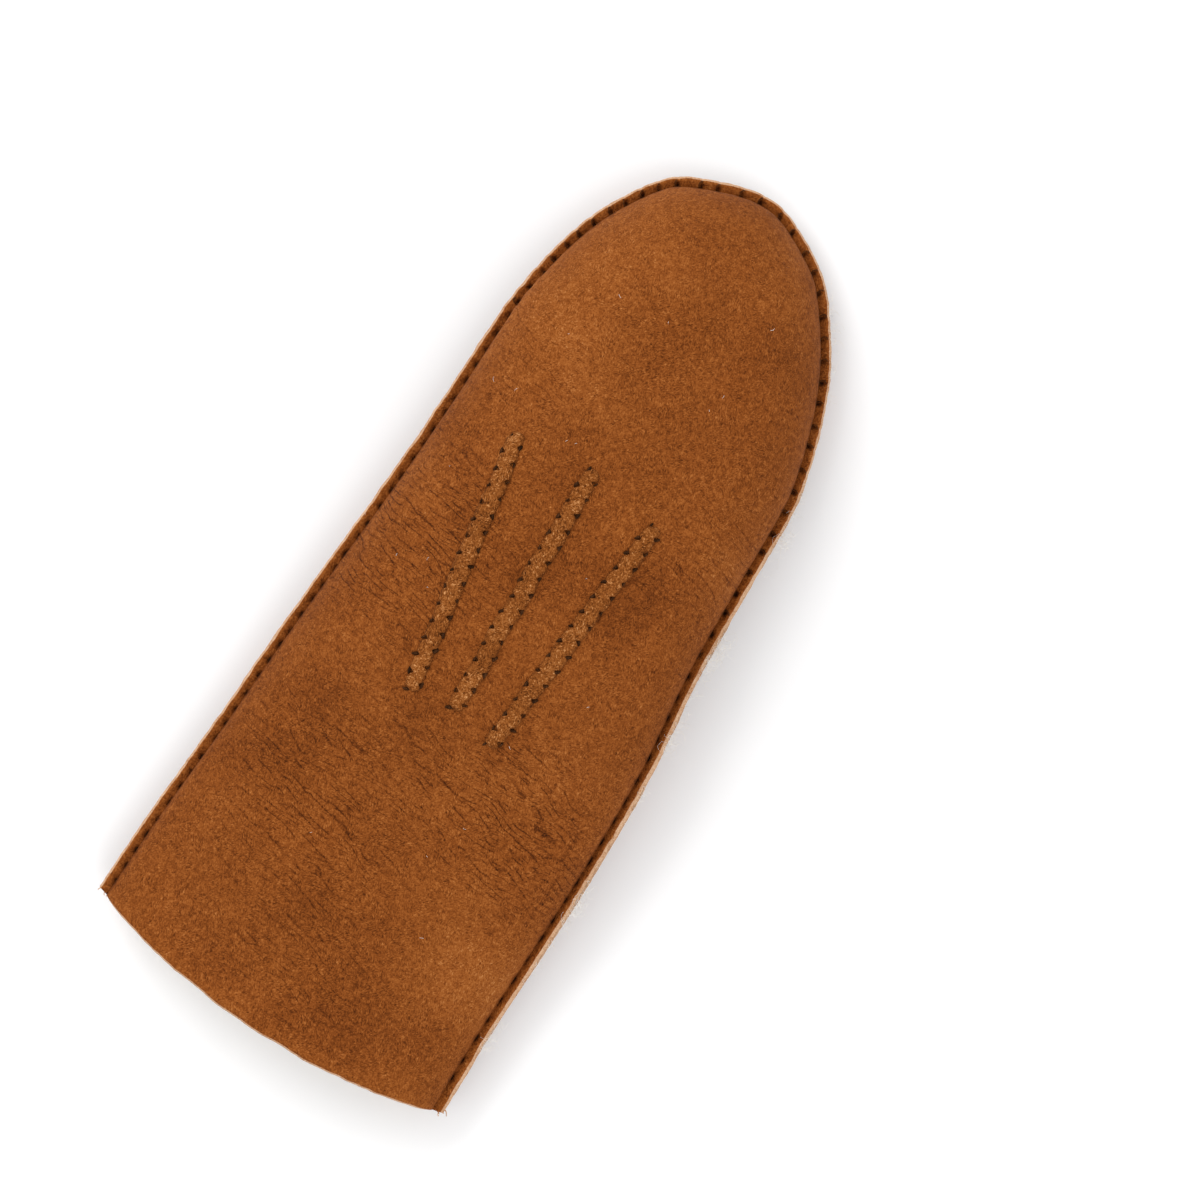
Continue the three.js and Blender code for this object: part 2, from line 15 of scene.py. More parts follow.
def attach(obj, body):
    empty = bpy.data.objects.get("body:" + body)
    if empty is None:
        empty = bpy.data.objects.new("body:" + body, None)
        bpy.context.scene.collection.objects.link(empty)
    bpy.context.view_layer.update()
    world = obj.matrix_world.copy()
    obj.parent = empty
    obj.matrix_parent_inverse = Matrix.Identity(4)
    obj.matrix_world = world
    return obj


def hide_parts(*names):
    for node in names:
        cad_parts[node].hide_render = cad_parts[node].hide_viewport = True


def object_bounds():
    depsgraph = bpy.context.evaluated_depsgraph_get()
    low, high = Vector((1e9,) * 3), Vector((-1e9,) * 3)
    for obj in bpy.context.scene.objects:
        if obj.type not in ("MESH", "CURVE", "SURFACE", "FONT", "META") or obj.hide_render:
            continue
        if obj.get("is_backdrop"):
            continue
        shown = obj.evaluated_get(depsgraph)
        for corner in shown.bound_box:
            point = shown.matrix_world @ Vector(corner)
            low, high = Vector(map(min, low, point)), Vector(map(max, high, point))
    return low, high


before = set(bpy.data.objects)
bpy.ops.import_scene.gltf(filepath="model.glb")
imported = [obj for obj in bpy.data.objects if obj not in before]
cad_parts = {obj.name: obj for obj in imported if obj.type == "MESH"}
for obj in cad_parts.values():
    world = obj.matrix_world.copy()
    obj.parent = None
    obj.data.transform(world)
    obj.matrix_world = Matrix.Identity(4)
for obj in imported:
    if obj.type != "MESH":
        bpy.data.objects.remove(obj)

bpy.ops.object.select_all(action="DESELECT")
for name in ("Cube", "Light", "Camera"):
    if name in bpy.data.objects:
        bpy.data.objects[name].select_set(True)
bpy.ops.object.delete()
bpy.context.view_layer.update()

# %% [markdown]
# ## Camera
# The picture is taken from straight above, with a long lens, and the mitten lies at an angle in it. So the
# camera looks down and is turned about its own axis, which leaves the mitten itself square to the axes.

# %% Camera above the table
MM = 0.001
PIXEL = 0.2775  # millimetres in the picture's plane
PICTURE = 1200  # pixels across
TURN = math.radians(33.4)
camera_height, hand_height = 1.35, 0.016
picture_middle = (0.0151, 0.0156)

camera_data = bpy.data.cameras.new("camera")
camera_data.sensor_width = 36.0
camera_data.lens = camera_data.sensor_width * (camera_height - hand_height) / (PICTURE * PIXEL * MM)
camera = bpy.data.objects.new("camera", camera_data)
camera.location = (*picture_middle, camera_height)
camera.rotation_euler = (0.0, 0.0, TURN)
bpy.context.scene.collection.objects.link(camera)
bpy.context.scene.camera = camera
print("lens in mm:", round(camera_data.lens, 1))

# %% [markdown]
# ## The form in numbers
# A sewn skin has no flat side and no round side that a primitive could give. It is a sheet between seams,
# so it is lofted: spokes run from the middle of the hand to its seam, and a few short tables say how wide
# and how high the hand is along its length. The solids were made from the same tables.

# %% Sizes and tables, in millimetres
LENGTH, CUFF, BOW, BOW_FADE, DEPTH = 270.0, 114.6, 7.5, 60.0, 44.0
LEATHER, CLEAR, BORDER = 1.3, 0.3, 3.0
HAND, HALF = LENGTH - BOW, CUFF / 2
REACH = CLEAR / 2 + LEATHER
SHIFT = np.array([-0.03, -127.5, 0.0])


def table(names, rows):
    """A table with named columns, as one array for each column."""
    return dict(zip(names.split(), np.array(rows, float).T))


hand_rows = table("along left right crown seam_left seam_right turn_right", [
    (0.00, 1.000, 1.000, 0.64, 0.27, 0.28, 0.10),
    (0.10, 0.995, 0.985, 0.66, 0.26, 0.29, 0.20),
    (0.21, 0.975, 0.985, 0.72, 0.27, 0.35, 0.30),
    (0.32, 0.962, 0.972, 0.82, 0.29, 0.44, 0.30),
    (0.42, 0.944, 0.944, 0.92, 0.31, 0.50, 0.30),
    (0.53, 0.920, 0.876, 0.98, 0.33, 0.50, 0.25),
    (0.63, 0.911, 0.843, 1.00, 0.34, 0.43, 0.15),
    (0.74, 0.911, 0.813, 0.96, 0.33, 0.35, 0.05),
    (0.79, 0.895, 0.760, 0.91, 0.31, 0.31, 0.00),
])
tip_rows = table("across along", [
    (-1.000, 0.000), (-0.943, 0.265), (-0.842, 0.517), (-0.667, 0.768), (-0.527, 0.869),
    (-0.251, 0.970), (-0.046, 1.000), (0.122, 0.970), (0.363, 0.869), (0.511, 0.768),
    (0.738, 0.517), (0.892, 0.265), (1.000, 0.000),
])
swell_rows = table("across along reach height", [
    (-0.35, 0.84, 0.60, 0.030), (-0.62, 0.47, 0.50, -0.035), (0.40, 0.30, 0.55, -0.030),
    (0.45, 0.62, 0.50, 0.025), (-0.30, 0.14, 0.55, 0.025), (0.10, 0.06, 0.40, -0.030),
])
thumb_line_rows = table("across along", [(0.470, 0.350), (0.450, 0.430), (0.210, 0.535), (-0.227, 0.690)])
thumb_rows = table("along left right depth seam", [
    (0.00, 0.82, 0.94, 0.45, 0.60), (0.20, 0.93, 0.94, 0.66, 0.60), (0.40, 1.00, 0.96, 0.90, 0.62),
    (0.60, 0.98, 0.94, 1.00, 0.54), (0.80, 0.88, 0.84, 1.00, 0.50), (1.00, 0.74, 0.74, 0.94, 0.50),
])
TIP_START, TIP_SEAM = hand_rows["along"][-1], 0.23
BACK_FULLNESS, PALM_FULLNESS, THUMB_FULLNESS, BASE_FULLNESS, REST_SHARE = 2.8, 3.0, 2.8, 2.0, 1.08
print("hand length:", HAND, "half the cuff:", HALF)

# %% [markdown]
# ### Between the rows
# A real mitten's width changes without corners. Straight lines between the table's rows would show as folds
# in the soft leather, so the values between them lie on a smooth curve through the rows.


# %% Helper: smooth values between a table's rows
def follow(rows, name, along):
    """Value of a table's column at places between its rows, without corners."""
    x, y = rows["along"], rows[name]
    slope = np.empty_like(y)
    slope[1:-1] = (y[2:] - y[:-2]) / (x[2:] - x[:-2])
    slope[0], slope[-1] = (y[1] - y[0]) / (x[1] - x[0]), (y[-1] - y[-2]) / (x[-1] - x[-2])
    low = np.clip(np.searchsorted(x, along, side="left") - 1, 0, len(x) - 2)
    span = x[low + 1] - x[low]
    t = np.clip((along - x[low]) / span, 0, 1)
    start = y[low] * (1 + 2 * t) * (1 - t) ** 2 + slope[low] * span * t * (1 - t) ** 2
    return start + y[low + 1] * t * t * (3 - 2 * t) - slope[low + 1] * span * t * t * (1 - t)


print("height of the back half way along:", round(float(follow(hand_rows, "crown", 0.5) * DEPTH), 1))

# %% [markdown]
# ### Soft steps, soft bumps and round outlines
# Leather has no hard fades, so a step is eased. Its bumps come from waves in random directions, which add up
# to bumps of one size and are the same in each run, because the seed is given. A noise texture could colour
# such bumps, but these have to move points. The tip's outline is a smooth curve through a few spots.


# %% Helpers: soft steps, a soft random field and a smooth outline
def ease(value, low, high):
    """0 below low, 1 above high and smooth between."""
    t = np.clip((value - low) / (high - low), 0, 1)
    return t * t * (3 - 2 * t)


def field(points, size, seed, waves=28):
    """A soft random field of about -1 to 1, with bumps of about that size in millimetres."""
    rng = np.random.default_rng(seed)
    flat = np.asarray(points, float)
    total = np.zeros(flat.shape[:-1])
    for _ in range(waves):
        direction = rng.normal(size=flat.shape[-1])
        direction *= rng.uniform(0.6, 1.5) * math.pi / (size * np.linalg.norm(direction))
        total += np.sin(flat @ direction + rng.uniform(0, 2 * math.pi))
    return total / math.sqrt(waves)


def spline(spots, count):
    """Points at equal steps on a smooth curve through the spots."""
    spots = np.asarray(spots, float)
    ends = np.vstack([spots[:1], spots, spots[-1:]])
    t = np.linspace(0, 1, 60, endpoint=False)[:, None]
    fine = []
    for i in range(len(spots) - 1):
        a, b, c, d = ends[i:i + 4]
        v0, v1 = (c - a) / 2, (d - b) / 2
        fine.append((2 * b - 2 * c + v0 + v1) * t ** 3 + (-3 * b + 3 * c - 2 * v0 - v1) * t ** 2 + v0 * t + b)
    fine = np.vstack([*fine, spots[-1:]])
    far = np.concatenate([[0], np.cumsum(np.linalg.norm(np.diff(fine, axis=0), axis=1))])
    want = np.linspace(0, far[-1], count)
    return np.stack([np.interp(want, far, fine[:, k]) for k in range(fine.shape[1])], 1)


print("soft field at steps of 20 mm:", field(np.array([[0.0], [20.0], [40.0]]), 20, 1).round(2))

# %% [markdown]
# ### Spokes
# Back and palm are cut to one outline and sewn together along it, so their form runs from the middle of the
# hand to the seam. The spokes run the same way: each has a root on the middle line, an end on the seam, and
# the heights there. A square grid of faces would meet the seam at a slant and show steps along it.


# %% Spokes of the hand, from its middle line to its seam
def side_spokes(along, side):
    """Spokes to the left (-1) or right (1) side of the hand."""
    left, right = (follow(hand_rows, name, along) * HALF for name in ("left", "right"))
    seam = follow(hand_rows, "seam_left" if side < 0 else "seam_right", along) * DEPTH
    turn = follow(hand_rows, "turn_right", along) * math.pi / 2 * (side > 0)
    return {
        "root": np.stack([(right - left) / 2, along * HAND], -1),
        "edge": np.stack([-left if side < 0 else right, along * HAND], -1),
        "crown": follow(hand_rows, "crown", along) * DEPTH, "seam": seam, "turn": turn,
    }


def hand_spokes(side_count, tip_count):
    """All spokes, from the left corner of the cuff round the tip to the right corner."""
    along = np.linspace(0, TIP_START, side_count)
    left, right = side_spokes(along, -1), side_spokes(along[::-1], 1)
    half_tip = (right["edge"][0, 0] - left["edge"][-1, 0]) / 2
    tip_length = HAND - left["root"][-1, 1]
    tip_plan = np.stack([tip_rows["across"] * half_tip, tip_rows["along"] * tip_length], 1)
    spots = spline(tip_plan, tip_count)[1:-1]
    share = np.linspace(0, 1, tip_count)[1:-1]
    side_seam = left["seam"][-1] + (right["seam"][0] - left["seam"][-1]) * share
    rise = spots[:, 1] / tip_length
    ones = np.ones(len(spots))
    tip = {
        "root": left["root"][-1] * ones[:, None], "edge": left["root"][-1] + spots,
        "crown": left["crown"][-1] * ones, "seam": side_seam + (TIP_SEAM * DEPTH - side_seam) * rise,
        "turn": 0 * ones,
    }
    return {name: np.concatenate([left[name], tip[name], right[name]]) for name in left}


print("parts of a spoke:", sorted(hand_spokes(5, 7)))


# %% Helpers: measures of the spokes, and places on them
def lengths(spokes):
    """Length of each spoke in the plan."""
    return np.linalg.norm(spokes["edge"] - spokes["root"], axis=-1)


def grain_reach(spokes, side):
    """Distance from the spoke's root to where the skin meets its border."""
    return lengths(spokes) - BORDER - side * np.tan(spokes["turn"] / 2) * REACH


def place(spokes, r, z, bowed=True):
    """Points at distances r along the spokes and heights z, in the row frame, in millimetres."""
    share = r / lengths(spokes)[:, None]
    plan = spokes["root"][:, None] + share[..., None] * (spokes["edge"] - spokes["root"])[:, None]
    y = plan[..., 1]
    if bowed:
        fade = np.maximum(0, 1 - spokes["root"][:, 1] / BOW_FADE)[:, None]
        y = y - BOW * (1 - share ** 2) * fade ** 2
    return np.stack([plan[..., 0], y, z], -1) + SHIFT


print("lengths of some spokes:", lengths(hand_spokes(5, 7)).round(1))

# %% [markdown]
# ### Heights
# A filled skin is high in the middle and falls to its seam in a round shoulder, and it is flat where it lies
# on the table. The palm of this mitten also lies on its own folded thumb, which lifts it. A cloth simulation
# could find that form, but not exactly the solids' form, so the heights come from the solids' own formulas.

# %% What the palm lies on: the table and the folded thumb
thumb_track = spline(np.stack([thumb_line_rows["across"] * HALF, thumb_line_rows["along"] * HAND], 1), 97)
THUMB_WIDTH, THUMB_DEPTH, THUMB_LAP, DRAPE = 47.0, 17.4, 0.6, 25.0
thumb_length = np.linalg.norm(np.diff(thumb_track, axis=0), axis=1).sum()


def profile(share, fullness):
    """Height from the seam (share 1) to the middle (share 0) of a stuffed skin, from 0 to 1."""
    return np.sqrt(np.maximum(0, 1 - share ** fullness))


def resting(share, fullness):
    """A profile that lies flat on what is under it."""
    return np.minimum(1, REST_SHARE * profile(share, fullness))


def bed(spots):
    """Height of what the palm lies on: the table, or the folded thumb with a slope around it."""
    best, along = np.full(spots.shape[:-1], 1e9), np.zeros(spots.shape[:-1])
    last = len(thumb_track) - 1
    for i in range(last):
        start, step = thumb_track[i], thumb_track[i + 1] - thumb_track[i]
        t = np.clip((spots - start) @ step / (step @ step), 0, 1)
        far = np.linalg.norm(spots - start - t[..., None] * step, axis=-1)
        near = far < best
        best, along = np.where(near, far, best), np.where(near, (i + t) / last, along)
    half = (follow(thumb_rows, "left", along) + follow(thumb_rows, "right", along)) / 2 * THUMB_WIDTH / 2
    return follow(thumb_rows, "depth", along) * THUMB_DEPTH * (1 - ease(best, half, half + DRAPE))


print("length of the thumb's line:", round(thumb_length, 1))


# %% Height of the back and of the palm
def swell(spots):
    """Broad, low bumps and hollows of the back."""
    total = np.zeros(spots.shape[:-1])
    for across, along, reach, height in zip(*(swell_rows[k] for k in ("across", "along", "reach", "height"))):
        far = np.linalg.norm(spots - np.array([across * HALF, along * HAND]), axis=-1) / (reach * HALF)
        total += height * DEPTH * (1 - ease(far, 0, 1))
    return total


def seam_foot(spokes, side, inset):
    """Height at the seam of a skin's grain side, or of its flesh side where it is inset."""
    return spokes["seam"][:, None] + side * (REACH if inset == 0 else CLEAR / 2)


def back_height(spokes, spots, share, inset=0.0):
    """Height of the back at shares of the way to the seam."""
    foot = seam_foot(spokes, 1, inset)
    return foot + (spokes["crown"][:, None] + swell(spots) - inset - foot) * profile(share, BACK_FULLNESS)


def palm_height(spokes, spots, share, inset=0.0):
    """Height of the palm, which lies on its bed and lifts from it towards the seam."""
    foot = seam_foot(spokes, -1, inset)
    return foot + (bed(spots) + inset - foot) * resting(share, PALM_FULLNESS)


print("height of the palm over the thumb's middle:", bed(thumb_track[48:49]).round(1))


# %% Helpers: the layers of a skin
def layer(spokes, side, height, share, inset=0.0, bowed=True):
    """Points of one layer of a skin, inset upright in the middle and sideways towards the seam."""
    share = np.tile(share, (len(spokes["seam"]), 1))
    reach = grain_reach(spokes, side)[:, None]
    middle = reach * share / lengths(spokes)[:, None]
    spots = spokes["root"][:, None] + middle[..., None] * (spokes["edge"] - spokes["root"])[:, None]
    return place(spokes, reach * share - inset * share ** 3, height(spokes, spots, share, inset), bowed)


def tucked_rows(spokes, side, bowed=True):
    """The last two points of each spoke, tucked in under the border, on the grain side and the flesh side."""
    reach, seam = grain_reach(spokes, side), spokes["seam"]
    rows = []
    for inwards, upwards in (((-0.05, 0.05), (1.0, 0.4)), ((1.25, 1.0), (0.25, 0.2))):
        r = np.stack([reach - back for back in inwards], 1)
        z = np.stack([seam + side * up for up in upwards], 1)
        rows.append(place(spokes, r, z, bowed))
    return rows


print("points tucked in at each spoke:", [net.shape[1] for net in tucked_rows(hand_spokes(5, 7), 1)])

# %% [markdown]
# ## Turning rows of points into a skin
# A leather skin has a grain side, a flesh side and a cut edge, and each looks different. One helper lays
# faces over two matching nets of points, joins their open edges with a wall, and gives the three sides
# their own material slots. The same helper then serves for the back, the palm, the thumb and the borders.


# %% Helpers: faces of a net, and points at the same place
def net_faces(rows, columns, ring):
    """Four-sided faces between the rows and columns of a net, round to the first row again if it is a ring."""
    row, column = np.meshgrid(np.arange(rows if ring else rows - 1), np.arange(columns - 1), indexing="ij")
    here, up = row * columns + column, (row + 1) % rows * columns + column
    return np.stack([here, up, up + 1, here + 1], -1).reshape(-1, 4)


def one_number_each(points):
    """Gives points at the same place the same number."""
    _, first, number = np.unique(np.round(points, 4), axis=0, return_index=True, return_inverse=True)
    return first[number.reshape(-1)]


print("faces of a net of 3 by 4 points:", len(net_faces(3, 4, False)))


# %% Helper: a new piece
def new_piece(name, points, faces, slots, materials, values=None):
    """A mesh object in metres, with soft shading, material slots for its faces and values for its points."""
    mesh = bpy.data.meshes.new(name)
    mesh.from_pydata((np.asarray(points) * MM).tolist(), [], [list(f) for f in faces])
    for material in materials:
        mesh.materials.append(material)
    mesh.polygons.foreach_set("material_index", np.asarray(slots, np.int32))
    mesh.polygons.foreach_set("use_smooth", np.ones(len(mesh.polygons), bool))
    for key, value in (values or {}).items():
        mesh.attributes.new(key, "FLOAT", "POINT").data.foreach_set("value", np.asarray(value, np.float32))
    piece = bpy.data.objects.new(name, mesh)
    bpy.context.scene.collection.objects.link(piece)
    bpy.ops.object.select_all(action="DESELECT")
    bpy.context.view_layer.objects.active = piece
    piece.select_set(True)
    bpy.ops.object.mode_set(mode="EDIT")
    bpy.ops.mesh.select_all(action="SELECT")
    bpy.ops.mesh.delete_loose()
    bpy.ops.mesh.normals_make_consistent(inside=False)
    bpy.ops.object.mode_set(mode="OBJECT")
    piece.select_set(False)
    triangles = sum(len(p.vertices) - 2 for p in mesh.polygons)
    print(f"{name}: {triangles} triangles")
    return piece


print("pieces are in metres, their points here in units of", MM, "m")


# %% Helper: closed skin between two nets of points
def skin(name, outer, inner, materials, ring=False, hole=None, values=None):
    """A closed skin between two nets of the same size, open where the hole is, an outline in the plan."""
    rows, columns = outer.shape[:2]
    flat_outer, flat_inner = outer.reshape(-1, 3).copy(), inner.reshape(-1, 3).copy()
    number = one_number_each(flat_outer)
    faces = number[net_faces(rows, columns, ring)]
    if hole is not None:
        middle = flat_outer[faces].mean(1)
        faces = faces[~inside(middle[:, :2], hole)]
    faces = [list(dict.fromkeys(face)) for face in faces.tolist()]
    faces = [face for face in faces if len(face) > 2]
    edges = {}
    for face in faces:
        for a, b in zip(face, face[1:] + face[:1]):
            edges[(a, b)] = edges.get((a, b), 0) + 1
    rim = [(a, b) for a, b in edges if (b, a) not in edges]
    if hole is not None:
        rim_points = np.unique(np.array(rim))
        close, moved = nearest_on(flat_outer[rim_points, :2], hole)
        shift = (moved - flat_outer[rim_points, :2]) * (close < 2.5)[:, None]
        flat_outer[rim_points, :2] += shift
        flat_inner[rim_points, :2] += shift
    count = len(flat_outer)
    walls = [[b, a, a + count, b + count] for a, b in rim]
    flesh = [[i + count for i in reversed(face)] for face in faces]
    slots = [0] * len(faces) + [1] * len(walls) + [2] * len(flesh)
    doubled = {key: np.tile(np.asarray(value).reshape(-1), 2) for key, value in (values or {}).items()}
    points = np.vstack([flat_outer, flat_inner])
    return new_piece(name, points, faces + walls + flesh, slots, materials, doubled)


print("a skin has three slots: grain side, cut edge and flesh side")


# %% Helpers: outlines in the plan
def inside(spots, outline):
    """Which spots lie inside an outline in the plan."""
    x, y = spots[:, 0], spots[:, 1]
    odd = np.zeros(len(spots), bool)
    for (ax, ay), (bx, by) in zip(outline, np.roll(outline, -1, 0)):
        crosses = (ay > y) != (by > y)
        odd ^= crosses & (x < (bx - ax) * (y - ay) / (by - ay + 1e-12) + ax)
    return odd


def nearest_on(spots, outline):
    """Distance of each spot to an outline in the plan, and the nearest place on it."""
    best, found = np.full(len(spots), 1e9), spots.copy()
    for a, b in zip(outline, np.roll(outline, -1, 0)):
        t = np.clip((spots - a) @ (b - a) / ((b - a) @ (b - a) + 1e-12), 0, 1)
        spot = a + t[:, None] * (b - a)
        far = np.linalg.norm(spots - spot, axis=1)
        found = np.where((far < best)[:, None], spot, found)
        best = np.minimum(best, far)
    return best, found


square = np.array([[0.0, 0.0], [2.0, 0.0], [2.0, 2.0], [0.0, 2.0]])
print("inside a square:", inside(np.array([[1.0, 1.0], [3.0, 1.0]]), square))

# %% [markdown]
# ## Materials
# Brushed leather has no gloss: what the eye reads is its nap, short hairs that lie in patches and catch the
# light, fine creases where the hand bends, and a darker tone in every dent, which is painted shade. Two node
# groups make the nap and the creases once, and each leather material uses them with its own colours.


# %% Helpers for nodes and groups
def node(tree, kind, inputs=None, **settings):
    """A new node, with its inputs set or linked."""
    made = tree.nodes.new(kind)
    for key, value in settings.items():
        setattr(made, key, value)
    for key, value in (inputs or {}).items():
        if isinstance(value, bpy.types.NodeSocket):
            tree.links.new(value, made.inputs[key])
        else:
            made.inputs[key].default_value = value
    return made


def math_node(tree, operation, a, b=0.0, c=0.0, clamp=False):
    """The result of one calculation; a, b and c are numbers or outputs of other nodes."""
    return node(tree, "ShaderNodeMath", {0: a, 1: b, 2: c}, operation=operation, use_clamp=clamp).outputs[0]


def noise(tree, vector, scale, detail=2.0, distortion=0.0):
    """A noise texture's value, about 0.3 to 0.7; scale is in bumps to the metre."""
    inputs = {"Vector": vector, "Scale": scale, "Detail": detail, "Distortion": distortion}
    return node(tree, "ShaderNodeTexNoise", inputs).outputs["Fac"]


def stretched(tree, vector, angle, scale):
    """The place, turned about the upright axis and stretched."""
    inputs = {"Vector": vector, "Rotation": (0.0, 0.0, math.radians(angle)), "Scale": scale}
    return node(tree, "ShaderNodeMapping", inputs, vector_type="TEXTURE").outputs[0]


def stepped(tree, value, low, high, to_low=0.0, to_high=1.0):
    """A value eased from to_low, where it is under low, to to_high, where it is over high."""
    inputs = {"Value": value, "From Min": low, "From Max": high, "To Min": to_low, "To Max": to_high}
    return node(tree, "ShaderNodeMapRange", inputs, interpolation_type="SMOOTHSTEP").outputs["Result"]


print("helpers for nodes:", [helper.__name__ for helper in (node, math_node, noise, stretched, stepped)])


# %% Helper: a node group
def new_group(name, inputs, outputs):
    """An empty shader node group with named inputs and outputs."""
    tree = bpy.data.node_groups.new(name, "ShaderNodeTree")
    for label, kind, value in inputs:
        socket = tree.interface.new_socket(name=label, in_out="INPUT", socket_type=kind)
        if value is not None:
            socket.default_value = value
    for label in outputs:
        tree.interface.new_socket(name=label, in_out="OUTPUT", socket_type="NodeSocketFloat")
    return tree, tree.nodes.new("NodeGroupInput").outputs, tree.nodes.new("NodeGroupOutput").inputs


print("groups so far:", len(bpy.data.node_groups))

# %% [markdown]
# ### Nap
# Brushing raises short hairs on the leather. They lie together in patches, and each patch looks lighter or
# darker as a whole. Two noises, stretched in two directions, are the hairs of two patches, and a coarser one
# chooses between them. Real strands on the whole mitten would be millions and look the same from here.

# %% Group: nap of brushed leather
nap_tree, nap_in, nap_out = new_group(
    "brushed nap",
    [("Place", "NodeSocketVector", None), ("Hair Scale", "NodeSocketFloat", 3000.0)],
    ["Hair", "Mottle", "Height"],
)
hair_one, hair_two = (
    noise(nap_tree, stretched(nap_tree, nap_in["Place"], *lie), nap_in["Hair Scale"], 3.0, 0.7)
    for lie in ((25, (1.0, 2.3, 1.0)), (-50, (1.0, 1.9, 1.0))))
patches = stepped(nap_tree, noise(nap_tree, nap_in["Place"], 210.0, 2.0), 0.36, 0.64)
hair_mix = node(nap_tree, "ShaderNodeMix", {"Factor": patches, "A": hair_one, "B": hair_two},
                data_type="FLOAT")
mottle = noise(nap_tree, nap_in["Place"], 600.0, 4.0, 0.4)
nap_tree.links.new(hair_mix.outputs[0], nap_out["Hair"])
nap_tree.links.new(mottle, nap_out["Mottle"])
nap_height = math_node(nap_tree, "MULTIPLY_ADD", mottle, 0.6, hair_mix.outputs[0])
nap_tree.links.new(nap_height, nap_out["Height"])
print("group:", nap_tree.name, len(nap_tree.nodes), "nodes")

# %% [markdown]
# ### Creases
# Where the hand bends, the grain folds into fine lines across it, 1 to 2 mm apart. Ridged noise gives closed
# rings, which leather doesn't have. So the lines are steps along the hand, bent by noise and broken up by a
# second one. How strong they are comes from the values that each piece keeps on its points.

# %% Group: creases across the grain
crease_tree, crease_in, crease_out = new_group(
    "grain creases",
    [("Place", "NodeSocketVector", None), ("Amount", "NodeSocketFloat", 0.5)],
    ["Crease"],
)


def crease_lines(tree, vector, pitch, width, angle):
    """Thin wavy lines across the hand, about a pitch apart, broken up so that few of them run on."""
    turned = stretched(tree, vector, angle, (1.0, 1.0, 1.0))
    along = node(tree, "ShaderNodeSeparateXYZ", {0: turned}).outputs["Y"]
    waver = noise(tree, stretched(tree, turned, 0, (2.4, 1.0, 2.4)), 0.22 / pitch, 4.0)
    folds = math_node(tree, "MULTIPLY_ADD", waver, 5.0, math_node(tree, "MULTIPLY", along, 1 / pitch))
    line = stepped(tree, math_node(tree, "PINGPONG", folds, 0.5), 0.0, width, 1.0, 0.0)
    broken = noise(tree, stretched(tree, turned, 0, (2.0, 1.0, 2.0)), 0.75 / pitch, 2.0)
    gaps = stepped(tree, broken, 0.43, 0.60)
    return math_node(tree, "MULTIPLY", line, gaps)


coarse = crease_lines(crease_tree, crease_in["Place"], 0.0022, 0.15, -14)
fine = crease_lines(crease_tree, crease_in["Place"], 0.0013, 0.17, 4)
both = math_node(crease_tree, "MAXIMUM", coarse, math_node(crease_tree, "MULTIPLY", fine, 0.7))
gated = math_node(crease_tree, "MULTIPLY", both, crease_in["Amount"])
crease_tree.links.new(gated, crease_out["Crease"])
print("group:", crease_tree.name, len(crease_tree.nodes), "nodes")

# %% [markdown]
# ### Brushed leather
# Whatever makes the leather lighter or darker is added up to one tone, and one ramp turns the tone into a
# colour. Layers of mixed colours would turn grey or muddy, while real leather keeps to one family of browns.


# %% Helpers: a new material, a value of the piece, and a ramp of colours
def principled(name):
    """A new material, its nodes, its shader and the place on the object."""
    material = bpy.data.materials.new(name)
    material.use_nodes = True
    tree = material.node_tree
    return material, tree, tree.nodes["Principled BSDF"], node(tree, "ShaderNodeTexCoord").outputs["Object"]


def value_of(tree, name):
    """A value that is kept on the points of the piece."""
    return node(tree, "ShaderNodeAttribute", attribute_name=name).outputs["Fac"]


def ramp(tree, value, stops):
    """A colour from a value, through stops of (position, colour)."""
    made = node(tree, "ShaderNodeValToRGB", {"Fac": value})
    elements = made.color_ramp.elements
    while len(elements) < len(stops):
        elements.new(0.5)
    for element, (position, colour) in zip(elements, stops):
        element.position = position
        element.color = (*colour, 1.0)
    return made.outputs["Color"]


print("materials so far:", len(bpy.data.materials))


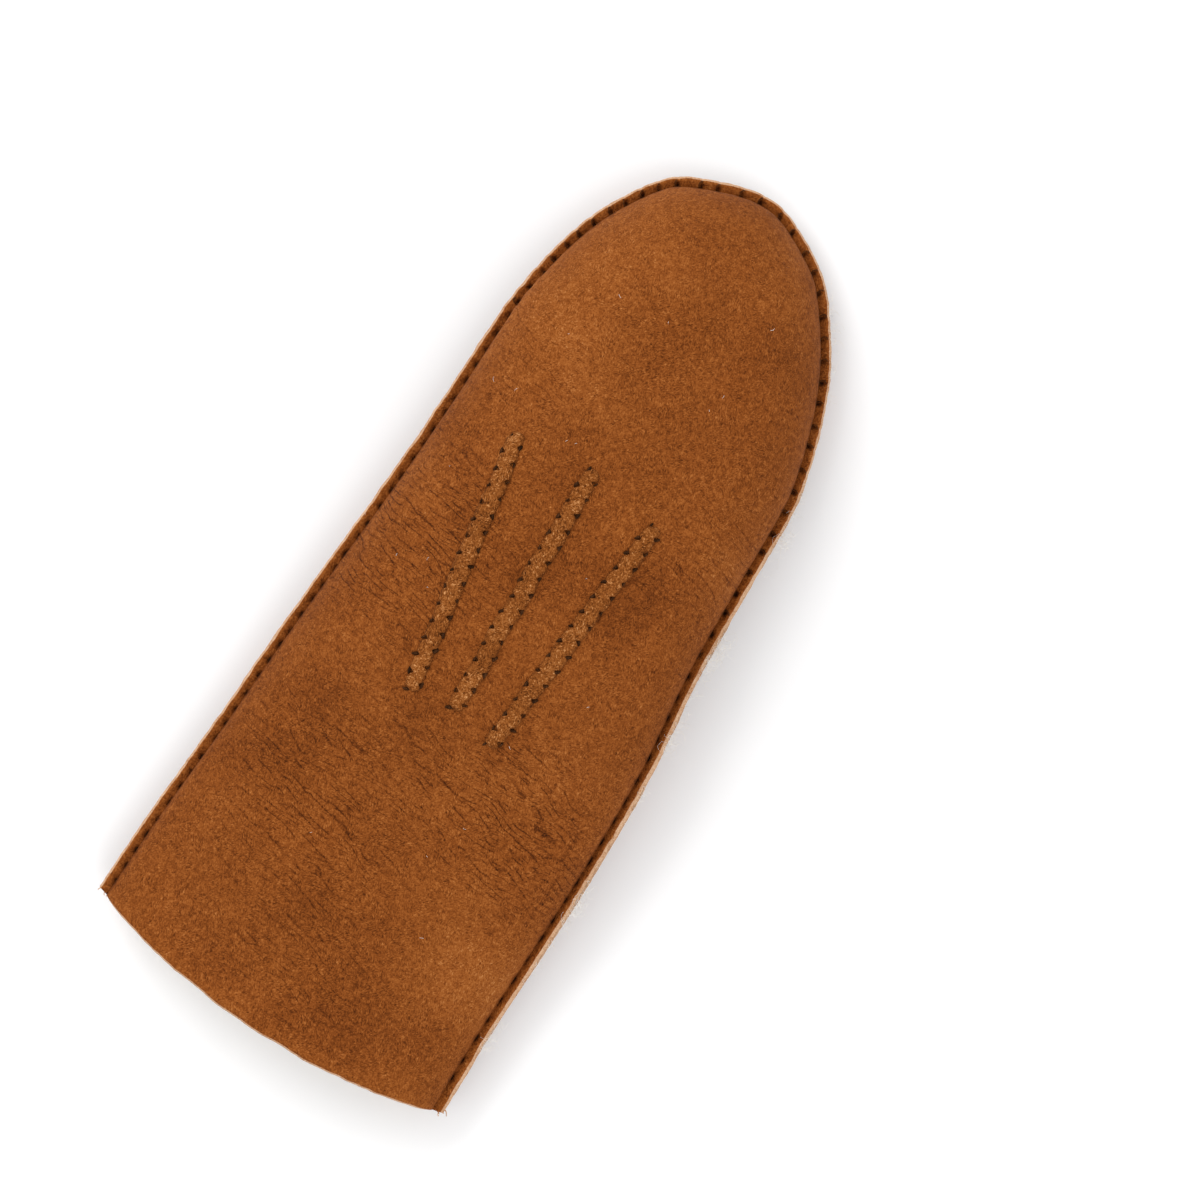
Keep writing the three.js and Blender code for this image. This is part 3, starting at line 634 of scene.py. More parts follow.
# %% Brushed leather of the back, the palm and the points
def brushed_leather(name, stops, hair=1.20, crease_shade=0.27, sheen=0.02, depth=0.00036):
    """Leather whose tone follows the piece's own values, the nap and the creases; the creases and the dark
    value darken it as painted shade; depth is in metres.
    """
    material, tree, shader, place_out = principled(name)
    nap = node(tree, "ShaderNodeGroup", {}, node_tree=nap_tree)
    tree.links.new(place_out, nap.inputs["Place"])
    creases = node(tree, "ShaderNodeGroup", {}, node_tree=crease_tree)
    tree.links.new(place_out, creases.inputs["Place"])
    tree.links.new(value_of(tree, "creased"), creases.inputs["Amount"])
    tone = math_node(tree, "MULTIPLY_ADD", value_of(tree, "tone"), 0.16, 0.5)
    for pattern, weight in ((noise(tree, place_out, 55.0, 3.0), 0.20), (nap.outputs["Hair"], hair),
                            (nap.outputs["Mottle"], 0.44)):
        tone = math_node(tree, "ADD", tone, math_node(tree, "MULTIPLY_ADD", pattern, weight, -weight / 2))
    # Painted shade: the creases and the dark value darken the colour in creases, grooves, notches and holes.
    for pattern, weight in ((creases.outputs["Crease"], crease_shade), (value_of(tree, "dark"), 0.55)):
        tone = math_node(tree, "SUBTRACT", tone, math_node(tree, "MULTIPLY", pattern, weight))
    tree.links.new(ramp(tree, tone, stops), shader.inputs["Base Color"])
    rough = stepped(tree, nap.outputs["Hair"], 0.3, 0.7, 0.95, 0.82)
    tree.links.new(rough, shader.inputs["Roughness"])
    height = math_node(tree, "SUBTRACT", nap.outputs["Height"], creases.outputs["Crease"])
    bump = node(tree, "ShaderNodeBump", {"Height": height, "Strength": 0.55, "Distance": depth})
    tree.links.new(bump.outputs["Normal"], shader.inputs["Normal"])
    shader.inputs["Specular IOR Level"].default_value = 0.08
    shader.inputs["Sheen Weight"].default_value = sheen
    shader.inputs["Sheen Roughness"].default_value = 0.45
    shader.inputs["Sheen Tint"].default_value = (1.0, 0.60, 0.30, 1.0)
    print(name, "has", len(tree.nodes), "nodes")
    return material


back_suede = brushed_leather("back_suede", [
    (0.04, (0.022, 0.005, 0.001)), (0.30, (0.101, 0.024, 0.003)), (0.50, (0.206, 0.054, 0.008)),
    (0.70, (0.318, 0.099, 0.019)), (0.95, (0.520, 0.232, 0.076)),
])
palm_suede = brushed_leather("palm_suede", [
    (0.06, (0.020, 0.005, 0.001)), (0.30, (0.096, 0.023, 0.004)), (0.50, (0.214, 0.057, 0.010)),
    (0.70, (0.330, 0.105, 0.024)), (0.95, (0.520, 0.242, 0.085)),
])
point_suede = brushed_leather("point_suede", [
    (0.04, (0.021, 0.005, 0.001)), (0.28, (0.088, 0.023, 0.003)), (0.50, (0.188, 0.053, 0.008)),
    (0.70, (0.300, 0.100, 0.021)), (0.95, (0.580, 0.290, 0.115)),
], hair=1.85, crease_shade=0.0, sheen=0.04)

# %% [markdown]
# ### Cut edge, flesh side, wool and thread
# Where the knife went through, leather shows pale fibres, and wool and thread are fibres anyway. One helper
# makes them all from fine noise, each with its own colours and sizes. Bump is enough for the single fibre,
# because it is thinner than a pixel of the picture.


# %% Fibrous materials
def fibrous(name, stops, size, rough, depth, sheen=0.0, stretch=(1.0, 1.0, 1.0)):
    """A fibrous stuff whose colour and height follow fine noise."""
    material, tree, shader, place_out = principled(name)
    spot = stretched(tree, place_out, 30, stretch)
    threads = noise(tree, spot, size, 4.0, 0.8)
    patch = noise(tree, place_out, size / 9, 2.0)
    tone = math_node(tree, "MULTIPLY_ADD", patch, 0.5, math_node(tree, "MULTIPLY_ADD", threads, 1.1, -0.3))
    tree.links.new(ramp(tree, tone, stops), shader.inputs["Base Color"])
    tree.links.new(stepped(tree, threads, 0.3, 0.7, rough, rough - 0.12), shader.inputs["Roughness"])
    bump = node(tree, "ShaderNodeBump", {"Height": threads, "Strength": 0.6, "Distance": depth})
    tree.links.new(bump.outputs["Normal"], shader.inputs["Normal"])
    shader.inputs["Specular IOR Level"].default_value = 0.06
    shader.inputs["Sheen Weight"].default_value = sheen
    return material


cut_edge = fibrous("cut_edge", [
    (0.20, (0.270, 0.110, 0.045)), (0.44, (0.500, 0.280, 0.155)), (0.74, (0.640, 0.425, 0.275)),
], 2100.0, 0.95, 0.0002)
flesh_side = fibrous("flesh_side", [
    (0.20, (0.260, 0.150, 0.080)), (0.50, (0.480, 0.330, 0.210)), (0.80, (0.660, 0.530, 0.400)),
], 900.0, 0.95, 0.0003)
wool_pile = fibrous("wool_pile", [
    (0.12, (0.430, 0.325, 0.225)), (0.40, (0.720, 0.600, 0.460)), (0.72, (0.910, 0.830, 0.710)),
], 520.0, 0.95, 0.0010, sheen=0.15)
wool_fibre = fibrous("wool_fibre", [
    (0.15, (0.780, 0.735, 0.660)), (0.45, (0.910, 0.875, 0.810)), (0.80, (0.960, 0.940, 0.900)),
], 700.0, 0.85, 0.0001, sheen=0.2)
# Near-black thread: its colour is the dark thread together with painted shade of the holes and the groove it
# lies in.
thread_and_painted_shade = fibrous("thread_and_painted_shade", [
    (0.20, (0.010, 0.004, 0.001)), (0.50, (0.032, 0.011, 0.003)), (0.85, (0.105, 0.038, 0.012)),
], 3600.0, 0.80, 0.0001, stretch=(1.0, 4.0, 1.0))
red_thread = fibrous("red_thread", [
    (0.20, (0.090, 0.022, 0.006)), (0.50, (0.230, 0.065, 0.015)), (0.85, (0.420, 0.150, 0.040)),
], 3600.0, 0.75, 0.0001, stretch=(1.0, 4.0, 1.0))
brown_thread = fibrous("brown_thread", [
    (0.20, (0.020, 0.007, 0.002)), (0.50, (0.075, 0.024, 0.007)), (0.85, (0.230, 0.085, 0.025)),
], 3600.0, 0.75, 0.0001, stretch=(1.0, 4.0, 1.0))
amber_thread = fibrous("amber_thread", [
    (0.20, (0.250, 0.085, 0.015)), (0.50, (0.520, 0.220, 0.045)), (0.85, (0.780, 0.440, 0.130)),
], 3600.0, 0.70, 0.0001, stretch=(1.0, 4.0, 1.0))
print("materials:", [m.name for m in bpy.data.materials])

# %% [markdown]
# ## Back of the hand
# The back is one skin that is drawn down to the seam all round. It is lofted on close spokes, then its net
# is moved a little along its own normals: soft wrinkles all over, and small puckers where the thread pulls.

# %% Where the leather is lighter, darker or creased
# Each row is x, y and reach in millimetres, then how much lighter (above 0) or darker the leather is.
tone_patches = [
    (-40, 72, 34, 0.55), (-32, 107, 26, 0.35), (23, -62, 26, 0.10), (44, -92, 26, 0.65),
    (8, -109, 34, -0.25), (-36, -60, 26, -0.35), (20, 19, 20, -0.45), (-12, 40, 16, -0.30),
    (-5, 14, 16, -0.40), (12, 82, 30, -0.25), (40, 40, 22, 0.30), (-46, 10, 20, 0.20),
    (36, -30, 24, 0.15), (-10, -30, 22, -0.20), (30, -110, 26, -0.20), (8, 120, 18, 0.25),
]
# Each row is x, y and reach in millimetres, then how much the leather is creased.
crease_patches = [
    (-40, 2, 46, 1.0), (22, -46, 36, 0.9), (-20, -70, 44, 0.75), (36, 40, 32, 0.55), (0, -110, 36, 0.45),
    (-36, 60, 30, 0.45), (44, -60, 30, 0.5),
]
palm_crease_patches = [(0, -60, 60, 0.9), (20, 10, 60, 0.8), (-30, 60, 50, 0.6)]


def patched(plan, patches, base=0.0):
    """Sum of soft round patches over places in the plan."""
    total = np.full(plan.shape[:-1], base)
    for x, y, reach, strength in patches:
        far = np.linalg.norm(plan - np.array([x, y]), axis=-1)
        total += strength * (1 - ease(far, 0.15 * reach, reach))
    return total


print("patches of tone:", len(tone_patches), "and of creases:", len(crease_patches))


# %% [markdown]
# ### Places of the seam's stitches
# The seam is sewn by hand, with long dashes along the sides and short tight stitches round the tip. Skin,
# border and thread have to agree where a stitch is, because each stitch pulls a notch and a pucker. So the
# places are worked out once, before any of the three is made, and are a little uneven, as a hand sews.


# %% Stitches along the seam: where they sit and what they look like there
def seam_length(spokes):
    """Distance along the seam from the left corner of the cuff, for each spoke."""
    step = np.linalg.norm(np.diff(spokes["edge"], axis=0), axis=1)
    return np.concatenate([[0], np.cumsum(step)])


outline = hand_spokes(500, 380)
outline_far = seam_length(outline)
SEAM = outline_far[-1]


def stitch_kind(far):
    """Share of the short pulled stitches of the tip; the rest are the long dashes of the sides."""
    return ease(far, 165, 235) * (1 - ease(far, 385, 450))


STITCH_PITCH, TIP_EXTRA, UNEVEN, SEAM_END = 5.3, 1.2, 0.6, 4.0


def stitch_places():
    """Distances of the stitches along the seam, a little uneven, as a hand sews them."""
    places, far = [], SEAM_END
    rng = np.random.default_rng(5)
    while far < SEAM - SEAM_END:
        places.append(far + rng.uniform(-UNEVEN, UNEVEN))
        far += STITCH_PITCH + TIP_EXTRA * ease(far, 230, 290)
    return np.array(places)


stitches = stitch_places()


def pulled(far, half):
    """How strongly the nearest stitch pulls, from 0 to 1, and the number of that stitch."""
    gap = np.abs(far[..., None] - stitches)
    which = gap.argmin(-1)
    return np.exp(-(gap.min(-1) / half) ** 2), which


print("seam:", round(SEAM), "mm,", len(stitches), "stitches")

# %% [markdown]
# ### Wrinkles and puckers
# Soft leather over wool is never smooth: broad low bumps, small ones on them, and puckers where the thread
# pulls. They could be sculpted by hand. Here each point moves along its own normal by the sum of soft fields
# and of a share of its nearest stitch's pull, so that skin and thread stay together when a number changes.


# %% Helpers: wrinkles of a skin
def spread(count):
    """Shares of the way to the seam, a little closer together towards it."""
    u = np.linspace(0, 1, count)
    return 0.45 * u + 0.55 * np.sin(u * math.pi / 2)


SOFT_WRINKLES = ((0.40, 34), (0.20, 13), (0.07, 4.5))  # height and size of each kind, in millimetres
LINE_PITCH, LINE_WIDTH, LINE_DEPTH, LINE_STRETCH = 3.2, 0.35, 0.05, (0.35, 1.0)


def wrinkle(net, seed, amount=1.0):
    """Height of soft wrinkles, and of fine lines in the creased patches, over a net in millimetres."""
    plan = net[..., :2]
    soft = sum(height * field(plan, size, seed + i) for i, (height, size) in enumerate(SOFT_WRINKLES))
    across = field(plan * np.array(LINE_STRETCH), LINE_PITCH, seed + 3, 40)
    lines = -np.maximum(0, 1 - np.abs(across) / LINE_WIDTH) * np.clip(patched(plan, crease_patches), 0, 1)
    return (soft + lines * LINE_DEPTH) * amount


def net_normals(net, side):
    """Outward directions of a net of points."""
    along, across = np.gradient(net, axis=0), np.gradient(net, axis=1)
    normal = np.cross(along, across)
    size = np.linalg.norm(normal, axis=-1, keepdims=True)
    normal = np.where(size > 1e-6, normal / np.maximum(size, 1e-6), [0, 0, 1.0])
    return normal * np.where(normal[..., 2:] * side < 0, -1, 1)


print("shares of the way to the seam:", spread(5).round(2))

# %% Helpers: puckers beside the seam, and the cut end of the cuff
PULL_HALF, PUCKER_REACH, PUCKER_HEIGHT, CUFF_ROWS = 1.6, 4.5, 0.42, 0.6


def seam_pull(spokes, shares):
    """For each point: distance along the seam, pull of the nearest stitch, nearness to the seam."""
    far = seam_length(spokes)[:, None] * np.ones(len(shares))
    near_seam = np.exp(-((1 - shares) * lengths(spokes)[:, None] / PUCKER_REACH) ** 1.5)
    return far, pulled(far, PULL_HALF)[0], near_seam


def waved_cuff(spokes, grain, flesh, waves, seed, recess):
    """Moves the cut end of the cuff in and out a little, and the flesh side back by the recess."""
    wave = sum(height * field(grain[..., :1], size, seed + i) for i, (height, size) in enumerate(waves))
    cuff = (spokes["root"][:, 1] < CUFF_ROWS)[:, None]
    grain[..., 1] += wave * cuff
    flesh[..., 1] += (wave - recess) * cuff


print("a stitch pulls over", 2 * PULL_HALF, "mm of the seam")

# %% Loft the back
BACK_SEED, TAUT_SHARE = 11, 0.97
spokes, shares = hand_spokes(196, 132), spread(60)
upper = layer(spokes, 1, back_height, shares)
lower = layer(spokes, 1, back_height, shares, LEATHER)
normals = net_normals(upper, 1)
normals[:, 0] = (0, 0, 1)
far, pull, near_seam = seam_pull(spokes, shares)
fade = 1 - ease(shares, TAUT_SHARE, 1.0)  # nothing moves right at the seam, where the border begins
puckers = (0.5 - pull) * PUCKER_HEIGHT * near_seam * fade * (0.25 + 0.75 * stitch_kind(far))
lift = wrinkle(upper, BACK_SEED) * fade + puckers
upper, lower = upper + normals * lift[..., None], lower + normals * lift[..., None]
waved_cuff(spokes, upper, lower, ((0.10, 9), (0.05, 2.6)), 31, 0.55)
groove, behind = tucked_rows(spokes, 1)
outer, inner = np.concatenate([upper, groove], 1), np.concatenate([lower, behind], 1)

plan = outer[..., :2]
across_share = np.concatenate([shares, [1.0, 1.0]]) * np.ones((len(spokes["seam"]), 1))
pull_to_edge = np.concatenate([pull, pull[:, -2:]], 1)
back_values = {
    # the last 3 mm before the cut end of the cuff are paler
    "tone": patched(plan, tone_patches) + 0.35 * (1 - ease(spokes["root"][:, 1], 0, 3.0))[:, None],
    "creased": np.clip(patched(plan, crease_patches, 0.12), 0, 1.1),
    # dark: painted shade at the foot of the seam and where each stitch pulls the skin in
    "dark": 0.05 * ease(across_share, 0.986, 1.0) + 0.5 * pull_to_edge * ease(across_share, 0.985, 1.0),
}
back_leather = skin("back_leather_skin", outer, inner, [back_suede, cut_edge, flesh_side], values=back_values)
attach(back_leather, "root")
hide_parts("back_leather")

# %% [markdown]
# ## Plan of the folded thumb
# The thumb is a leaf-shaped bag with a middle line that slants across the palm. The palm's hole follows the
# thumb's base, so the thumb's plan is needed first. Its spokes work as the hand's do, but run all round it.

# %% Helpers: height over a place, and the thumb's middle line
THUMB_BASE, THUMB_TIP, JOIN_LEFT, JOIN_RIGHT = 24.0, 19.0, 0.15, 0.30
SEAM_DROP, BORDER_TURN, MOUTH_LAP, MOUTH_BOW = 0.10, 0.30, 0.03, 0.10


def skin_height(spots, side, height):
    """Height of the palm's or the back's grain side over places in the plan."""
    along = np.clip(spots[:, 1] / HAND, 0, TIP_START)
    result = np.zeros(len(spots))
    for hand_side in (-1, 1):
        found = side_spokes(along, hand_side)
        middle = found["root"][:, 0]
        share = np.minimum(1, np.abs(spots[:, 0] - middle) / grain_reach(found, side))
        value = height(found, spots[:, None], share[:, None])[:, 0]
        result = np.where((spots[:, 0] < middle) == (hand_side < 0), value, result)
    return result


def on_track(along):
    """The place on the thumb's middle line, and the direction of the line there."""
    t = np.asarray(along) * (len(thumb_track) - 1)
    count = np.arange(len(thumb_track))
    spot = np.stack([np.interp(t, count, thumb_track[:, k]) for k in (0, 1)], -1)
    slope = np.gradient(thumb_track, axis=0)
    way = np.stack([np.interp(t, count, slope[:, k]) for k in (0, 1)], -1)
    return spot, way / np.linalg.norm(way, axis=-1, keepdims=True)


print("the thumb's line runs from", on_track(0.0)[0].round(1), "to", on_track(1.0)[0].round(1))


# %% Helpers: spokes of the thumb
def thumb_spoke(root, edge, along, join, turn):
    """Spokes of the thumb: join is 1 where the seam hangs on the palm and 0 where it is free."""
    foot = edge - root
    size = np.linalg.norm(foot, axis=1, keepdims=True)
    foot = root + foot * (size - BORDER) / size
    free = follow(thumb_rows, "seam", along) * follow(thumb_rows, "depth", along) * THUMB_DEPTH
    joined = skin_height(foot, -1, palm_height) + REACH
    return {"root": root, "edge": edge, "join": join, "seam": free + (joined - free) * join,
            "turn": -turn * math.pi / 2}


def thumb_side(along, side):
    """Spokes to the left (-1) or right (1) long side of the thumb."""
    along = np.atleast_1d(along).astype(float)
    root, way = on_track(along)
    half = follow(thumb_rows, "left" if side < 0 else "right", along) * THUMB_WIDTH / 2
    edge = root + np.stack([way[:, 1], -way[:, 0]], 1) * side * half[:, None]
    end = JOIN_LEFT if side < 0 else JOIN_RIGHT
    join, turn = 1 - ease(along, end - SEAM_DROP, end), 1 - ease(along, end, end + BORDER_TURN)
    return thumb_spoke(root, edge, along, join, turn)


def thumb_cap(along, reach, count):
    """Spokes round the thumb's base (along 0) or its tip (along 1)."""
    outwards = -1 if along == 0 else 1
    start, end = thumb_side(along, outwards), thumb_side(along, -outwards)
    angle = np.linspace(0, math.pi, count)[1:-1]
    way = on_track(along)[1] * outwards
    arm = np.where((angle < math.pi / 2)[:, None], start["edge"] - start["root"], end["edge"] - start["root"])
    root = np.repeat(start["root"], len(angle), 0)
    edge = root + arm * np.abs(np.cos(angle))[:, None] + way * (np.sin(angle) * reach)[:, None]
    joined = np.full(len(angle), 1.0 if along == 0 else 0.0)
    return thumb_spoke(root, edge, np.full(len(angle), float(along)), joined, joined)


def in_a_row(*parts):
    """Groups of spokes, one after the other."""
    return {name: np.concatenate([p[name] for p in parts]) for name in parts[0]}


def thumb_spokes(side_count, cap_count):
    """All spokes round the thumb."""
    along = np.linspace(0, 1, side_count)
    return in_a_row(thumb_side(along, 1), thumb_cap(1, THUMB_TIP, cap_count), thumb_side(along[::-1], -1),
                    thumb_cap(0, THUMB_BASE, cap_count))


def base_spokes(lap, count=24):
    """The spokes of the thumb that end on the palm."""
    left = thumb_side(np.linspace(JOIN_LEFT + lap, 0, count), -1)
    right = thumb_side(np.linspace(0, JOIN_RIGHT + lap, count), 1)
    return in_a_row(left, thumb_cap(0, THUMB_BASE, 50), right)


print("spokes that end on the palm:", len(base_spokes(MOUTH_LAP)["seam"]))


# %% Outline of the thumb hole
def beside_foot(found, grow):
    """Places in the plan where the border starts, grown outwards."""
    arm = found["edge"] - found["root"]
    size = np.linalg.norm(arm, axis=1, keepdims=True)
    return found["root"] + arm * (size - BORDER + grow) / size


def mouth_line(right, left):
    """The bowed line across the thumb's mouth."""
    middle = (right + left) / 2 + on_track((JOIN_LEFT + JOIN_RIGHT) / 2)[1] * MOUTH_BOW * 2 * thumb_length
    t = np.linspace(0, 1, 30)[:, None]
    return (1 - t) ** 2 * right + 2 * t * (1 - t) * middle + t ** 2 * left


base_line = beside_foot(base_spokes(MOUTH_LAP), CLEAR / 2)
thumb_hole = np.vstack([base_line, mouth_line(base_line[-1], base_line[0])[1:-1]]) + SHIFT[:2]
print("thumb hole:", np.ptp(thumb_hole, 0).round(1), "mm")

# %% [markdown]
# ## Palm
# The palm lies on the table near the cuff and near the tip, and over the folded thumb in between. It has
# an oval hole for the thumb. Its net is made whole, the faces over the hole are left out, and the points
# round the hole are moved onto its outline.

# %% Loft the palm
ON_TABLE, ABOVE_TABLE = 0.02, 0.9  # lowest heights of the grain side and the flesh side
PALM_PUCKER = 0.45
spokes, shares = hand_spokes(176, 116), spread(54)
under = layer(spokes, -1, palm_height, shares)
above = layer(spokes, -1, palm_height, shares, LEATHER)
normals = net_normals(under, -1)
normals[:, 0] = (0, 0, -1)
fade = 1 - ease(shares, TAUT_SHARE, 1.0)
lift = wrinkle(under, 41, 0.8) * fade
lift = lift - np.maximum(0, lift) * (under[..., 2] < 0.8)  # where it touches the table it stays flat
_, pull, near_seam = seam_pull(spokes, shares)
lift = lift + (0.5 - pull) * PALM_PUCKER * near_seam * fade
under, above = under + normals * lift[..., None], above + normals * lift[..., None]
under[..., 2], above[..., 2] = np.maximum(under[..., 2], ON_TABLE), np.maximum(above[..., 2], ABOVE_TABLE)
waved_cuff(spokes, under, above, ((0.13, 9), (0.07, 2.6)), 35, 0.30)
groove, behind = tucked_rows(spokes, -1)
outer, inner = np.concatenate([under, groove], 1), np.concatenate([above, behind], 1)
plan = outer[..., :2]
across_share = np.concatenate([shares, [1.0, 1.0]]) * np.ones((len(spokes["seam"]), 1))
palm_values = {
    "tone": 0.5 * field(plan, 26, 45),
    "creased": np.clip(patched(plan, palm_crease_patches, 0.25), 0, 1.1),
    # dark: painted shade at the foot of the seam
    "dark": ease(across_share, 0.986, 1.0) * 0.5,
}
palm_leather = skin("palm_leather_skin", outer, inner, [palm_suede, cut_edge, flesh_side], hole=thumb_hole,
                    values=palm_values)
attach(palm_leather, "root")
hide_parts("palm_leather")

# %% [markdown]
# ## Seam borders
# Outside the seam both skins end in a border of 3 mm with a raw cut edge. It is too fine for the spokes of
# the skins, so each border is a strip of its own: one rounded section, swept along the seam on closer
# spokes, and pinched at every stitch.


# %% Helper: sweep a section along the seam
def swept(name, sections, slots, materials, values=None, closed=False):
    """A closed strip through a row of sections that all have the same number of points."""
    rows, columns = sections.shape[:2]
    row, column = np.meshgrid(np.arange(rows if closed else rows - 1), np.arange(columns), indexing="ij")
    next_row, next_column = (row + 1) % rows, (column + 1) % columns
    faces = np.stack([row * columns + column, next_row * columns + column, next_row * columns + next_column,
                      row * columns + next_column], -1).reshape(-1, 4).tolist()
    face_slots = np.broadcast_to(np.asarray(slots), row.shape).reshape(-1).tolist()
    if not closed:
        faces += [list(range(columns)), [(rows - 1) * columns + i for i in reversed(range(columns))]]
        face_slots += [1, 1]
    return new_piece(name, sections.reshape(-1, 3), faces, face_slots, materials, values)


print("a strip has two slots or more: its face and its cut end")

# %% Helper: the border of one skin
# One section of the border: out from the seam, up from the seam, and the slot of the face that follows.
border_rows = table("out up slot", [
    (-0.70, 0.30, 0), (-0.45, 1.00, 0), (-0.05, 1.20, 0), (0.35, 1.30, 0), (0.80, 1.44, 0), (1.25, 1.54, 0),
    (1.65, 1.60, 0), (2.02, 1.56, 0), (2.42, 1.40, 1), (2.66, 1.14, 1), (2.86, 0.80, 1), (3.00, 0.42, 1),
    (2.86, 0.17, 2), (1.40, 0.15, 2), (0.00, 0.15, 2), (-0.70, 0.15, 2),
])


def border(name, spokes, side, far, kind, suede, bowed=True, closed=False, seed=3):
    """The border strip of one skin: side is 1 for the upper skin and -1 for the lower one.

    far is the distance along the seam and kind the share of pulled stitches. A stitch presses a notch into
    the strip's top. Between two stitches the top is plump, and the cut edge is a little rough.
    """
    q, h, slots = border_rows["out"], border_rows["up"], border_rows["slot"].astype(int)
    pull, which = pulled(far, 1.25 - 0.60 * kind)
    rng = np.random.default_rng(seed)
    strength = rng.uniform(0.60, 1.12, len(stitches))[which]
    pull, kind = (pull * strength)[:, None], kind[:, None]
    line = np.stack([far, far * 0], 1)
    rough = (0.06 * field(line, 2.2, seed + 1) + 0.10 * field(line, 7, seed + 2))[:, None]
    top = (h > 0.5) & (q < 2.8)
    notch = pull * (1 - ease(q, 0.25 + 0.55 * kind, 1.0 + 0.95 * kind)) * top
    plump = (1 - pull) * 0.08 * top * kind
    filled = 0.24 * (1 - kind) * (1 - ease(q, -0.1, 0.9)) * top
    grown = q + (rough - 0.14 * pull * kind - 0.05) * ease(q, 1.2, 2.6)
    lifted = h + filled - 0.95 * notch * (0.75 + 0.25 * kind) + plump
    lifted = np.where(h > 0.2, np.maximum(lifted, 0.2), h)
    turn = spokes["turn"][:, None]
    foot = (lengths(spokes) - BORDER)[:, None]
    r = foot + grown * np.cos(turn) - side * lifted * np.sin(turn)
    z = spokes["seam"][:, None] + grown * np.sin(turn) + side * lifted * np.cos(turn)
    sections = place(spokes, r, z, bowed)
    values = {
        "tone": (0.35 * ease(q, 0.9, 2.0) * top + 0.15 * rough).reshape(-1),
        "creased": np.full(lifted.size, 0.2),
        # dark: painted shade in each stitch's notch and in the groove beside the skin
        "dark": np.clip((0.85 - 0.15 * kind) * notch ** 1.2 + 0.10 * (q < 0.2) * (h > 0.5), 0, 1).reshape(-1),
    }
    return swept(name, sections, slots, [suede, cut_edge, flesh_side], values, closed)


print("points in a border's section:", len(border_rows["out"]))


# %% Borders of the hand
kind = stitch_kind(outline_far)
back_border = border("back_seam_border", outline, 1, outline_far, kind, back_suede)
palm_border = border("palm_seam_border", outline, -1, outline_far, kind, palm_suede, seed=8)
for piece, slot_name in ((back_border, "back_suede"), (palm_border, "palm_suede")):
    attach(piece, "root")

# %% [markdown]
# ## Points on the back
# A point is a narrow fold of the back's own leather, held up by two rows of tight stitches. The stitches
# alternate from side to side and pinch the fold, so its edge runs in small scallops with a dark hole
# between two of them.

# %% Loft the three points
POINT_HALF, POINT_HEIGHT, POINT_PITCH, POINT_STEP = 2.42, 1.25, 5.0, 0.28
HOLE_STARTS = (0.0, 0.5)  # the holes of the right side sit half a pitch further on
point_ends = [((-14.5, -33.5), (-28.4, 41.6)), ((-1.7, -31.4), (-5.5, 44.4)), ((12.0, -34.6), (17.0, 40.5))]


def back_surface(spots):
    """Height of the finished back over places in the plan, with its wrinkles."""
    plain = skin_height(spots - SHIFT[:2], 1, back_height)
    return plain + wrinkle(np.column_stack([spots, plain]), BACK_SEED)


